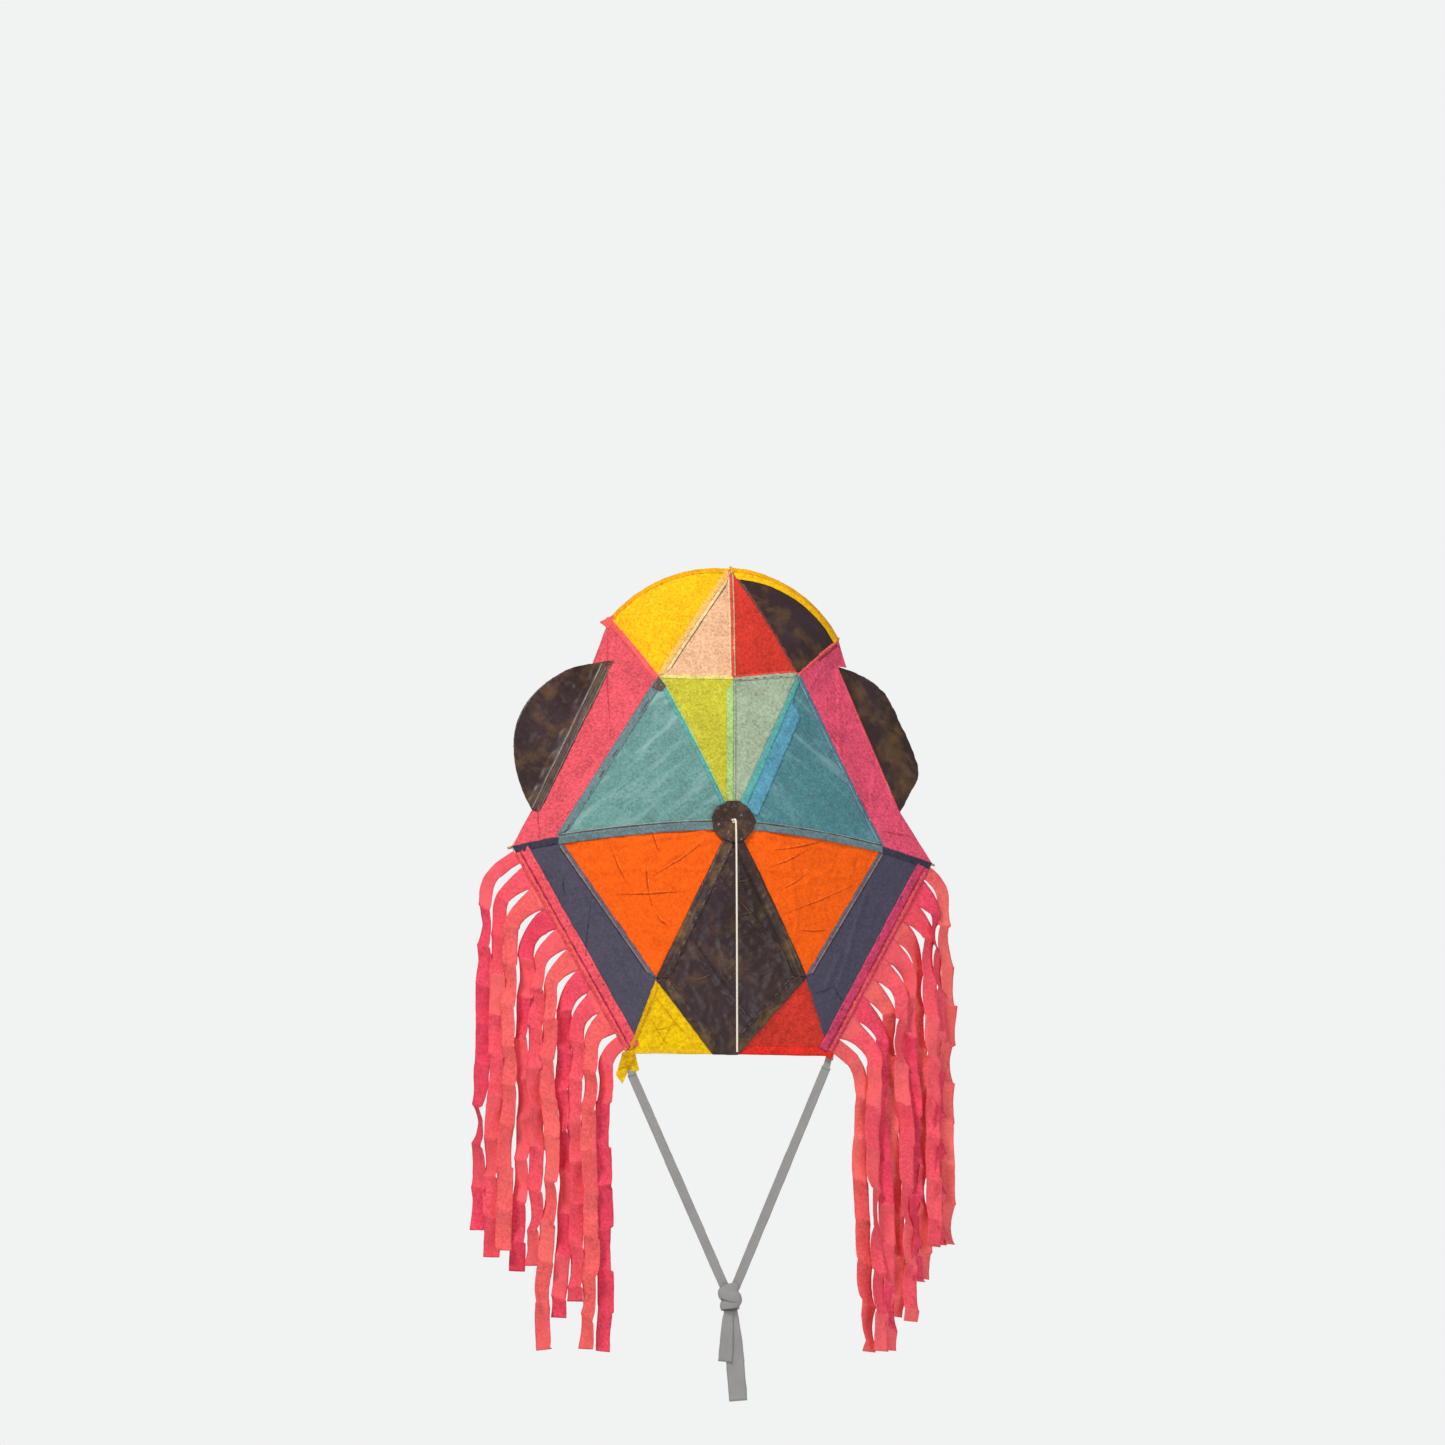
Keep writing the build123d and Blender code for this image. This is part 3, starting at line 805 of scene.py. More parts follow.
def group_of(name, sockets):
    """A geometry tree with its named inputs, and the wiring and links to fill it in with."""
    tree = bpy.data.node_groups.new(name, "GeometryNodeTree")
    tree.interface.new_socket(name="Geometry", in_out="OUTPUT", socket_type="NodeSocketGeometry")
    tree.interface.new_socket(name="Path", in_out="INPUT", socket_type="NodeSocketGeometry")
    for label, kind in sockets.items():
        tree.interface.new_socket(name=label, in_out="INPUT", socket_type=kind)
    tree.interface.new_socket(name="Material", in_out="INPUT", socket_type="NodeSocketMaterial")
    wiring = Wiring(tree)
    entry = tree.nodes.new("NodeGroupInput")
    inputs = {socket.name: Link(wiring, socket) for socket in entry.outputs if socket.name}
    return tree, wiring, inputs


def end_group(tree, w, geometry, material):
    """Realizes, shades and paints what a tree has made."""
    real = w.node("GeometryNodeRealizeInstances", {}, {"Geometry": geometry})
    soft = w.node("GeometryNodeSetShadeSmooth", {}, {"Geometry": real})
    painted = w.node("GeometryNodeSetMaterial", {}, {"Geometry": soft, "Material": material})
    out = tree.nodes.new("NodeGroupOutput")
    tree.links.new(painted.socket, out.inputs["Geometry"])
    return tree


def resampled(w, path, step):
    """The path as a curve with points that far apart."""
    curve = w.node("GeometryNodeMeshToCurve", {}, {"Mesh": path})
    return w.node("GeometryNodeResampleCurve", {"mode": "LENGTH"}, {"Curve": curve, "Length": step})


def run_length(w):
    """How far along its curve a point lies."""
    return w.node("GeometryNodeSplineParameter", output="Length")


def circle_of(w, sides, diameter):
    """A round section with that many sides."""
    return w.node("GeometryNodeCurvePrimitiveCircle", {}, {"Resolution": sides, "Radius": diameter * 0.5})


def cane_tree():
    """A round cane that swells at its joints and wanders a little in thickness."""
    if "Bamboo cane" in bpy.data.node_groups:
        return bpy.data.node_groups["Bamboo cane"]
    number = "NodeSocketFloat"
    tree, w, inputs = group_of("Bamboo cane",
                               {"Diameter": number, "Joint Spacing": number, "Joint Swell": number})
    curve = resampled(w, inputs["Path"], 0.0022)
    run = run_length(w)
    kept = {"Geometry": curve, "Name": "run", "Value": run}
    curve = w.node("GeometryNodeStoreNamedAttribute", {"data_type": "FLOAT", "domain": "POINT"}, kept)
    half = inputs["Joint Spacing"] * 0.5
    near = half - run.maths("PINGPONG", run, half)
    swell = near.clamped(0.0, 0.0035, 1.0, 0.0)
    wander = w.noise(w.node("GeometryNodeInputPosition"), 55, 2.0)
    thickness = 0.97 + swell * inputs["Joint Swell"] + (wander - 0.5) * 0.16
    circle = circle_of(w, 12, inputs["Diameter"])
    values = {"Curve": curve, "Profile Curve": circle, "Scale": thickness, "Fill Caps": True}
    return end_group(tree, w, w.node("GeometryNodeCurveToMesh", {}, values), inputs["Material"])


def cord_tree():
    """A laid cord: a lobed section that turns as it follows the path."""
    if "Laid cord" in bpy.data.node_groups:
        return bpy.data.node_groups["Laid cord"]
    number = "NodeSocketFloat"
    sockets = {"Diameter": number, "Step": number, "Lay Length": number, "Strands": number, "Groove": number}
    tree, w, inputs = group_of("Laid cord", sockets)
    curve = resampled(w, inputs["Path"], inputs["Step"])
    turn = run_length(w) / inputs["Lay Length"] * (2 * math.pi)
    curve = w.node("GeometryNodeSetCurveTilt", {}, {"Curve": curve, "Tilt": turn})
    sides = 15
    circle = circle_of(w, sides, inputs["Diameter"])
    angle = w.node("GeometryNodeInputIndex") * (2 * math.pi / sides)
    lobe = (angle * inputs["Strands"]).maths("COSINE", angle * inputs["Strands"])
    reach = 1.0 - (1.0 - lobe) * 0.5 * inputs["Groove"]
    place = w.vector("SCALE", w.node("GeometryNodeInputPosition"), scale=reach)
    section = w.node("GeometryNodeSetPosition", {}, {"Geometry": circle, "Position": place})
    values = {"Curve": curve, "Profile Curve": section, "Fill Caps": True}
    return end_group(tree, w, w.node("GeometryNodeCurveToMesh", {}, values), inputs["Material"])


def turns_tree():
    """Turns of thread: a loop repeated side by side, then thickened."""
    if "Thread turns" in bpy.data.node_groups:
        return bpy.data.node_groups["Thread turns"]
    number = "NodeSocketFloat"
    sockets = {"Diameter": number, "Turns": "NodeSocketInt", "First": "NodeSocketVector",
               "Pitch": "NodeSocketVector"}
    tree, w, inputs = group_of("Thread turns", sockets)
    values = {"Count": inputs["Turns"], "Start Location": inputs["First"], "Offset": inputs["Pitch"]}
    row = w.node("GeometryNodeMeshLine", {}, values)
    spread = {"Min_001": 0.97, "Max_001": 1.05, "Seed": 4}
    size = w.node("FunctionNodeRandomValue", {"data_type": "FLOAT"}, spread, 1)
    copies = {"Points": row, "Instance": inputs["Path"], "Scale": size}
    copied = w.node("GeometryNodeInstanceOnPoints", {}, copies)
    loops = w.node("GeometryNodeRealizeInstances", {}, {"Geometry": copied})
    curve = w.node("GeometryNodeMeshToCurve", {}, {"Mesh": loops})
    circle = circle_of(w, 8, inputs["Diameter"])
    mesh = w.node("GeometryNodeCurveToMesh", {}, {"Curve": curve, "Profile Curve": circle})
    return end_group(tree, w, mesh, inputs["Material"])


def strip_tree():
    """A strip of paper or cloth that hangs along a path, folded to and fro, twisted and curled."""
    if "Hanging strip" in bpy.data.node_groups:
        return bpy.data.node_groups["Hanging strip"]
    number = "NodeSocketFloat"
    sockets = {
        "Width": number,
        "Step": number,
        "Fold Spacing": number,
        "Fold Depth": number,
        "Jog": number,
        "Twist": number,
        "Curl": number,
        "Root Width": number,
        "Seed": number,
    }
    tree, w, inputs = group_of("Hanging strip", sockets)
    curve = w.node("GeometryNodeMeshToCurve", {}, {"Mesh": inputs["Path"]})
    total = w.node("GeometryNodeCurveLength", {}, {"Curve": curve})
    rows = (total / inputs["Step"]).maths("ROUND", total / inputs["Step"])
    grid_values = {"Size X": 1.0, "Size Y": 1.0, "Vertices X": 8, "Vertices Y": rows}
    grid = w.node("GeometryNodeMeshGrid", {}, grid_values)
    place = w.node("GeometryNodeInputPosition")
    parts = w.tree.nodes.new("ShaderNodeSeparateXYZ")
    w.tree.links.new(place.socket, parts.inputs[0])
    aside, share = Link(w, parts.outputs[0]), Link(w, parts.outputs[1]) + 0.5
    facing = w.node("GeometryNodeInputNamedAttribute", {"data_type": "FLOAT_VECTOR"}, {"Name": "facing"})
    sampled = tree.nodes.new("GeometryNodeSampleCurve")
    sampled.mode, sampled.data_type, sampled.use_all_curves = "FACTOR", "FLOAT_VECTOR", True
    for key, value in {"Curves": curve, "Value": facing, "Factor": share}.items():
        tree.links.new(value.socket, w.socket_of(sampled, key))
    outs = {socket.name: Link(w, socket) for socket in sampled.outputs if socket.enabled}
    run = share * total
    stray = w.node("ShaderNodeCombineXYZ", {}, {0: run * 30.0, 1: aside * 1.2, 2: inputs["Seed"] * 1.3})
    slanted = run + aside * 0.005 + (w.noise(stray, 1.0, 1.0) - 0.5) * 0.012 + inputs["Seed"] * 0.0197
    folds = slanted / inputs["Fold Spacing"]
    panel = folds.maths("FLOOR", folds) + inputs["Seed"] * 31.0
    part = folds.maths("FRACT", folds)
    lean = w.node("ShaderNodeTexWhiteNoise", {"noise_dimensions": "1D"}, {"W": panel}) - 0.5
    slip = w.node("ShaderNodeTexWhiteNoise", {"noise_dimensions": "1D"}, {"W": panel + 0.5}) - 0.5
    deep = w.node("ShaderNodeTexWhiteNoise", {"noise_dimensions": "1D"}, {"W": panel + 0.25}) * 0.8 + 0.6
    hold = (run * 30.0 - 0.6).clamped()
    drift = w.node("ShaderNodeCombineXYZ", {}, {0: run * 7.0, 1: inputs["Seed"] * 3.7, 2: 0.0})
    twist = (w.noise(drift, 1.0, 1.0) - 0.5) * 3.2 * inputs["Twist"] + lean * 0.55 * inputs["Twist"]
    twist = twist * hold
    side = w.vector("NORMALIZE", w.vector("CROSS_PRODUCT", outs["Tangent"], outs["Value"]))
    front = w.vector("CROSS_PRODUCT", side, outs["Tangent"])
    cosine, sine = twist.maths("COSINE", twist), twist.maths("SINE", twist)
    turned = w.vector("ADD", w.vector("SCALE", side, scale=cosine), w.vector("SCALE", front, scale=sine))
    outward = w.vector("SUBTRACT", w.vector("SCALE", front, scale=cosine),
                       w.vector("SCALE", side, scale=sine))
    scallop = 0.5 - part * (1.0 - part) * 4.0
    rough = w.node("ShaderNodeCombineXYZ", {}, {0: run * 95.0, 1: aside * 3.0, 2: inputs["Seed"] * 2.1 + 9.0})
    crinkle = (w.noise(rough, 1.0, 3.0) - 0.5) * inputs["Fold Depth"] * 0.5
    sway = w.node("ShaderNodeCombineXYZ", {}, {0: run * 14.0, 1: inputs["Seed"] * 5.3, 2: 4.0})
    bulge = inputs["Curl"] * (aside * aside * 4.0 - 0.4) * (w.noise(sway, 1.0, 1.0) - 0.35)
    depth = (scallop * inputs["Fold Depth"] * deep + crinkle + bulge) * hold
    trim = w.node("ShaderNodeCombineXYZ", {}, {0: run * 60.0, 1: inputs["Seed"] * 7.1, 2: aside * 2.0})
    taper = run.clamped(0.004, 0.055)
    taper = taper * (2.0 - taper)
    width = inputs["Root Width"] + (inputs["Width"] - inputs["Root Width"]) * taper
    width = width * (0.96 - slip * 0.14 + (w.noise(trim, 1.0, 2.0) - 0.5) * 0.16)
    shift = aside * width + (lean + slip) * inputs["Jog"] * hold
    offset = w.vector("ADD", w.vector("SCALE", turned, scale=shift), w.vector("SCALE", outward, scale=depth))
    final = w.vector("ADD", outs["Position"], offset)
    kept = {"Geometry": grid, "Name": "panel", "Value": panel}
    named = w.node("GeometryNodeStoreNamedAttribute", {"data_type": "FLOAT", "domain": "FACE"}, kept)
    shaped = w.node("GeometryNodeSetPosition", {}, {"Geometry": named, "Position": final})
    return end_group(tree, w, shaped, inputs["Material"])


def grow(name, points, tree, material, closed=False, facing=None, **values):
    """The plain mesh object that a tree makes along a path of points in metres."""
    path = bpy.data.meshes.new(name + "_path")
    edges = [(i, i + 1) for i in range(len(points) - 1)]
    if closed:
        edges.append((len(points) - 1, 0))
    path.from_pydata([tuple(p) for p in points], edges, [])
    if facing is not None:
        attribute = path.attributes.new("facing", "FLOAT_VECTOR", "POINT")
        attribute.data.foreach_set("vector", np.asarray(facing, np.float32).ravel())
    holder = bpy.data.objects.new(name + "_path", path)
    bpy.context.scene.collection.objects.link(holder)
    modifier = holder.modifiers.new("Grow", "NODES")
    modifier.node_group = tree
    given = {"Material": material, **{key.replace("_", " ").title(): value for key, value in values.items()}}
    for item in tree.interface.items_tree:
        if item.in_out == "INPUT" and item.name in given:
            modifier[item.identifier] = given[item.name]
    graph = bpy.context.evaluated_depsgraph_get()
    grown = holder.evaluated_get(graph)
    mesh = bpy.data.meshes.new_from_object(grown, preserve_all_data_layers=True, depsgraph=graph)
    bpy.data.objects.remove(holder)
    mesh.name = name
    made = bpy.data.objects.new(name, mesh)
    bpy.context.scene.collection.objects.link(made)
    return made


def joined(name, parts):
    """Several mesh objects as one."""
    with bpy.context.temp_override(active_object=parts[0], selected_editable_objects=parts):
        bpy.ops.object.join()
    parts[0].name = name
    parts[0].data.name = name
    return parts[0]


def settle(piece, body, slot, *nodes):
    """Ties a finished piece to its body and hides the nodes it stands for; the slot is not used."""
    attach(piece, body)
    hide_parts(*nodes)
    return piece


# ------------------------------------------------------------------ operators


class KITE_OT_stage(Operator):
    """Sets up the camera, the pale floor and the soft lights"""

    bl_idname = "kite.stage"
    bl_label = "Stage"

    def execute(self, context):
        scene = context.scene
        camera = bpy.data.objects.new("Camera", bpy.data.cameras.new("Camera"))
        camera.data.lens, camera.data.sensor_width = LENS, FILM_WIDTH
        camera.location = EYE
        camera.rotation_mode = "QUATERNION"
        camera.rotation_quaternion = (Vector(AIM) - Vector(EYE)).to_track_quat("-Z", "Y")
        scene.collection.objects.link(camera)
        scene.camera = camera
        far = FLOOR_REACH
        corners = [(x, y, FLOOR_LEVEL) for x, y in ((-far, -far), (far, -far), (far, far), (-far, far))]
        floor = mesh_object("Floor", corners, [[0, 1, 2, 3]], [matt("Floor", tint(216, 214, 210))])
        for name, (place, power, size, tone) in LIGHTS.items():
            lamp = bpy.data.lights.new(name, "AREA")
            lamp.energy, lamp.size, lamp.color = power, size, tint(*tone)
            holder = bpy.data.objects.new(name, lamp)
            holder.location = place
            holder.rotation_euler = (-Vector(place)).to_track_quat("-Z", "Y").to_euler()
            scene.collection.objects.link(holder)
        world = bpy.data.worlds.new("Studio")
        world.use_nodes = True
        world.node_tree.nodes.clear()
        wiring = Wiring(world.node_tree)
        seen = wiring.node("ShaderNodeLightPath", output="Is Camera Ray")
        soft = wiring.node("ShaderNodeBackground", {}, {"Color": (0.93, 0.94, 0.95, 1), "Strength": 0.34})
        pale = wiring.node("ShaderNodeBackground", {}, {"Color": (0.93, 0.935, 0.94, 1), "Strength": 0.95})
        sky = wiring.node("ShaderNodeMixShader", {}, {0: seen, 1: soft, 2: pale})
        wiring.node("ShaderNodeOutputWorld", {}, {"Surface": sky}, None)
        scene.world = world
        scene.view_settings.view_transform = "Standard"
        return {"FINISHED"}


class KITE_OT_line(Operator):
    """Makes the flying line and the knot it is tied with"""

    bl_idname = "kite.line"
    bl_label = "Flying line"

    def execute(self, context):
        size, paint = context.scene.kite_sizes, context.scene.kite_colours
        cotton = twine("White line", tuple(paint.string))
        route = bpy.data.curves.new("line_route", "CURVE")
        route.dimensions = "3D"
        spline = route.splines.new("NURBS")
        points = [(0, -0.01164, 0), (0, -0.02064, 0), (0.0018, -0.02564, -0.01), (0.0018, -0.02564, -0.3)]
        spline.points.add(len(points) - 1)
        for point, place in zip(spline.points, points):
            point.co = (*place, 1)
        spline.order_u = 3
        spline.use_endpoint_u = True
        spline.resolution_u = 24
        holder = bpy.data.objects.new("line_route", route)
        context.scene.collection.objects.link(holder)
        graph = context.evaluated_depsgraph_get()
        followed = bpy.data.meshes.new_from_object(holder.evaluated_get(graph))
        path = [tuple(v.co) for v in followed.vertices]
        bpy.data.objects.remove(holder)
        width = size.line_diameter
        lay = {"step": 0.0006, "lay_length": 0.009, "strands": 3.0, "groove": 0.2}
        line = grow("flying_line_cord", path, cord_tree(), cotton, diameter=width, **lay)
        settle(line, "line", "white_line", "flying_line")
        turn = np.linspace(0, 2 * math.pi, 60, endpoint=False)
        loop = np.column_stack(
            [
                (np.sin(turn) + 2 * np.sin(2 * turn)) * 0.00078,
                -0.0098 + np.sin(3 * turn) * 0.0012,
                (np.cos(turn) - 2 * np.cos(2 * turn)) * 0.00078,
            ]
        )
        knot = grow("line_hitch", loop, cord_tree(), cotton, closed=True, diameter=KNOT_THREAD, **lay)
        settle(knot, "line", "white_line", "line_knot")
        return {"FINISHED"}


CANE_OVERHANG = 5


def cane_path(first, second, layer):
    """A bowed cane from tip to tip that passes behind those of lower layers at the hub."""
    share = np.linspace(0, 1, 30)
    halves = []
    for tip in (first, second):
        reach = share * (1 + CANE_OVERHANG / np.linalg.norm(tip))
        back = layer * CROSSING_PITCH * np.clip(1 - share / 0.62, 0, 1) ** 1.3
        halves.append(np.column_stack([tip[0] * reach, tip[1] * reach**2 + back, tip[2] * reach]))
    return np.vstack([halves[0][::-1], halves[1][1:]]) * MM


class KITE_OT_canes(Operator):
    """Makes the bamboo canes, their lashing and the cord round the edge"""

    bl_idname = "kite.canes"
    bl_label = "Canes and cord"

    def execute(self, context):
        size, paint = context.scene.kite_sizes, context.scene.kite_colours
        wood = bamboo("Bamboo", tuple(paint.cane), size.joint_spacing)
        cotton = twine("Thread", tuple(paint.string))
        spine = np.linspace(0, 1, 30)[:, None] * (NOSE * (1 + CANE_OVERHANG / NOSE[2])) * at(1, 0, 1)
        third_layer = 3 * CROSSING_PITCH
        near_hub = np.clip(1 - spine[:, 2] / ring["mid_top"][1], 0, 1) ** 1.2
        spine[:, 1] = NOSE[1] * (spine[:, 2] / NOSE[2]) ** 2 + third_layer * near_hub
        spine = np.vstack([[0, third_layer + 0.3, -15], spine]) * MM
        bow = (bow_curve + at(0, BOW_BACK, 0)) * MM
        paths = {
            "cross_cane": cane_path(SIDE_LEFT, SIDE_RIGHT, 0),
            "diagonal_cane_left": cane_path(TOP_LEFT, BOTTOM_RIGHT, 1),
            "diagonal_cane_right": cane_path(TOP_RIGHT, BOTTOM_LEFT, 2),
            "spine_cane": spine,
            "nose_bow": bow,
        }
        sizes = {"diameter": size.cane_diameter, "joint_spacing": size.joint_spacing, "joint_swell": 0.16}
        for node, path in paths.items():
            settle(grow(node + "_split", path, cane_tree(), wood, **sizes), "sail", "cane", node)
        turn = np.linspace(0, 2 * math.pi, 40, endpoint=False)
        tall, wide, back, slant = 0.0092, 0.0071, 0.0068, math.radians(30)
        loop = np.column_stack(
            [
                np.sign(np.sin(turn)) * np.abs(np.sin(turn)) ** 0.7 * wide * math.cos(slant),
                back + np.sign(np.cos(turn)) * np.abs(np.cos(turn)) ** 0.7 * tall,
                np.sign(np.sin(turn)) * np.abs(np.sin(turn)) ** 0.7 * wide * math.sin(slant),
            ]
        )
        across = Vector((math.sin(slant), 0, -math.cos(slant)))
        winding = {"diameter": LASHING_THREAD, "turns": 6, "first": across * -0.002,
                   "pitch": across * LASHING_THREAD}
        first = grow("hub_turns", loop, turns_tree(), cotton, closed=True, **winding)
        crossed = loop * np.array([-1, 1, 1])
        aslant = Vector((-across.x, 0, across.z))
        winding = {"diameter": LASHING_THREAD, "turns": 5, "first": aslant * -0.0016,
                   "pitch": aslant * LASHING_THREAD}
        second = grow("hub_turns_crossed", crossed, turns_tree(), cotton, closed=True, **winding)
        settle(joined("hub_turns", [first, second]), "sail", "thread", "hub_lashing")
        corners = [
            TOP_LEFT,
            HUMMER_TOP_LEFT,
            HUMMER_FOOT_LEFT,
            SIDE_LEFT,
            BOTTOM_LEFT,
            BOTTOM_RIGHT,
            SIDE_RIGHT,
            HUMMER_FOOT_RIGHT,
            HUMMER_TOP_RIGHT,
            TOP_RIGHT,
        ]
        route = []
        for start, end in zip(corners, corners[1:]):
            route += [start + (end - start) * share for share in np.linspace(0, 1, 9)[:-1]]
        route = (np.array(route + [corners[-1]]) - at(0, CORD_FORWARD, 0)) * MM
        lay = {"step": 0.0007, "lay_length": 0.0032, "strands": 2.0, "groove": 0.32}
        cord = grow("edge_cord_laid", route, cord_tree(), cotton, diameter=size.cord_diameter, **lay)
        settle(cord, "sail", "thread", "edge_cord")
        return {"FINISHED"}


class KITE_OT_upper_papers(Operator):
    """Cuts the papers between the nose, the top corners and the hub"""

    bl_idname = "kite.upper_papers"
    bl_label = "Upper papers"

    def execute(self, context):
        paint = context.scene.kite_colours
        plain = ("yellow", "cream", "red", "lime", "sage", "turquoise", "sky")
        papers = {name: tissue(name.title() + " tissue", tuple(getattr(paint, name))) for name in plain}
        black = glossy_black("Black paper", tuple(paint.black))
        teal = tissue("Teal tissue", tuple(paint.teal), streak=0.75)
        sea = tissue("Sea tissue", tuple(paint.sea), streak=-0.6)
        deep_yellow = lap("Lapped yellow")
        butter = lap("Lapped cream")
        ivory = lap("Ivory lap")
        pale_lemon = lap("Pale lemon lap")
        scarlet = lap("Lapped red")
        dusk = lap("Dusk lap")
        # Thin dark brown lines along seams, and a dark brown patch at one crease's apex.
        dark_brown_line = lap("Brown crease")
        slate_blue = lap("Slate blue lap")
        painted_teal_highlight = lap("Pale teal crease")
        mint = lap("Mint lap")

        left_arch, right_arch = list(bow_left[::4, [0, 2]]), list(bow_right[::4, [0, 2]])
        inner = [p + (ring["in_top_left"] - p) * 0.045 for p in left_arch]
        sheet = Sheet("yellow_top_paper", ["in_top_left", "nose", *left_arch[::-1][1:-1], "top_left"],
                      papers["yellow"], 11,
                      [crumple(0.22, 26, 4), fold((-120, 292), (-60, 232), 0.3)])
        sheet.lay(left_arch + inner[::-1], deep_yellow, 0.4)
        sheet.made("yellow_paper", "paper_yellow_top")

        sheet = Sheet("cream_paper_sheet", ["in_top_left", "mid_top", "nose"], papers["cream"], 12,
                      [crumple(0.2, 22, 9)])
        seam = ("in_top_left", "nose")
        sheet.hem(seam, -5, 2.5, butter, 0.45).hem(seam, 2.5, 6.5, ivory, 0.4, lambda x, z: 0.25 + 0 * x)
        sheet.hem(seam, 6.3, 7.4, dark_brown_line, 0.3)
        sheet.hem(("in_top_left", "mid_top"), -2, 4, pale_lemon, 0.45)
        sheet.hem(("mid_top", "nose"), -1, 2.5, scarlet, 0.5).hem(("mid_top", "nose"), 2.5, 5, ivory, 0.4)
        sheet.made("cream_paper", "paper_cream")

        sheet = Sheet("red_paper_top", ["nose", "mid_top", "in_top_right"], papers["red"], 13,
                      [crumple(0.3, 20, 8), fold((40, 216), (14, 330), 0.3)])
        sheet.hem(("nose", "mid_top"), 0, 2.6, ivory, 0.3)
        sheet.hem(("mid_top", "in_top_right"), 0, 4.5, scarlet, 0.35)
        sheet.hem(("in_top_right", "nose"), 0.5, 2.2, dark_brown_line, 0.45, swell(0.2, 7, 3))
        sheet.made("red_paper", "paper_red_top")

        sheet = Sheet("black_paper_top", ["nose", "in_top_right", "top_right", *right_arch[::-1][1:-1]],
                      black, 14,
                      [crumple(0.4, 30, 5), pull(ring["top_right"], 1.0, 40, 7, 6),
                       fold((60, 300), (100, 240), 0.5)],
                      ragged=0.5)
        sheet.made("black_paper", "paper_black_top")
        inner = [p + (ring["in_top_right"] - p) * 0.1 for p in right_arch]
        outer = [p + (ring["in_top_right"] - p) * -0.012 for p in right_arch]
        sheet = Sheet("yellow_bow_hem", [*outer, *inner[::-1]], papers["yellow"], 15, [], ragged=0.6,
                      lift=0.7)
        sheet.lay([*outer, *[p + (ring["in_top_right"] - p) * 0.03 for p in right_arch[::-1]]], deep_yellow,
                  0.4)
        sheet.made("yellow_paper", "paper_yellow_hem")

        sheet = Sheet("lime_paper_sheet", ["hub", "mid_top", "in_top_left"], papers["lime"], 16,
                      [crumple(0.22, 24, 2), pull(HUB[[0, 2]], 0.7, 40, 9, 2)])
        sheet.hem(("hub", "mid_top"), 0.5, 9, mint, 0.4, swell(0.15, 6, 4))
        sheet.made("lime_paper", "paper_lime")

        sheet = Sheet("sage_paper_sheet", ["hub", "in_top_right", "mid_top"], papers["sage"], 17,
                      [crumple(0.3, 18, 3), fold((12, 50), (22, 180), 0.35),
                       pull(HUB[[0, 2]], 0.7, 40, 8, 7)])
        sheet.hem(("mid_top", "in_top_right"), -1.5, 4.5, papers["sage"], 0.5).hem(
            ("mid_top", "in_top_right"), 2.2, 3.2, dark_brown_line, 0.7)
        sheet.hem(("hub", "mid_top"), 0, 3.0, papers["sage"], 0.45)
        sheet.made("sage_paper", "paper_sage")

        seam, low_seam = ("in_side_left", "in_top_left"), ("in_side_left", "hub")
        sheet = Sheet("teal_paper_left", ["hub", "in_top_left", "in_side_left"], teal, 18,
                      [crumple(0.3, 34, 6), pull(ring["in_top_left"], 2.4, 34, 6, 8),
                       pull(ring["in_side_left"], 1.4, 40, 7, 4),
                       pull(HUB[[0, 2]], 1.3, 55, 9, 5), fold((-150, 20), (-40, 92), 0.6),
                       fold((-112, 66), (-116, 12), 0.5),
                       fold((-60, 30), (-10, 22), 0.6)])
        sheet.hem(seam, -3, 8, dusk, 0.5).hem(seam, 4, 5.6, dark_brown_line, 0.75, swell(0.3, 9, 1))
        sheet.hem(("hub", "in_top_left"), -1, 4, papers["turquoise"], 0.5)
        sheet.hem(("hub", "in_top_left"), -3.5, -1.2, mint, 0.6)
        sheet.hem(low_seam, -10, 1, dusk, 1.5, swell(0.3, 12, 6))
        sheet.hem(low_seam, 0.4, 2.4, dark_brown_line, 1.8, swell(0.4, 14, 8))
        # A painted highlight line beside the dark brown line.
        sheet.hem(low_seam, 2.4, 3.6, painted_teal_highlight, 1.6)
        apex = ring["in_top_left"] + np.array([0, -16])
        sheet.lay([ring["in_top_left"], apex + np.array([-9, 2]), apex + np.array([2, -5]),
                   apex + np.array([9, 2])], dark_brown_line, 0.9)
        sheet.made("teal_paper", "paper_teal_left")

        seam, low_seam = ("in_top_right", "in_side_right"), ("hub", "in_side_right")
        sheet = Sheet("teal_paper_right", ["hub", "in_side_right", "in_top_right"], sea, 19,
                      [crumple(0.3, 36, 7), pull(ring["in_top_right"], 1.6, 30, 6, 3),
                       pull(ring["in_side_right"], 1.2, 40, 7, 5),
                       pull(HUB[[0, 2]], 1.2, 55, 8, 4), fold((30, 40), (160, 90), 0.5),
                       fold((52, 100), (150, 30), 0.5)])
        # A slate blue lap with a painted highlight line in it.
        sheet.hem(seam, -2, 5, slate_blue, 0.5).hem(seam, 2.5, 3.8, painted_teal_highlight, 0.75)
        sheet.hem(low_seam, -8.5, 1, dusk, 1.5, swell(0.3, 10, 2), (0.1, 1))
        sheet.hem(low_seam, 0.5, 2.2, dark_brown_line, 1.8, swell(0.4, 12, 9), (0.1, 1))
        # A painted highlight line beside the dark brown line.
        sheet.hem(low_seam, 2.2, 3.2, painted_teal_highlight, 1.6, None, (0.1, 1))
        sheet.made("teal_paper", "paper_teal_right")

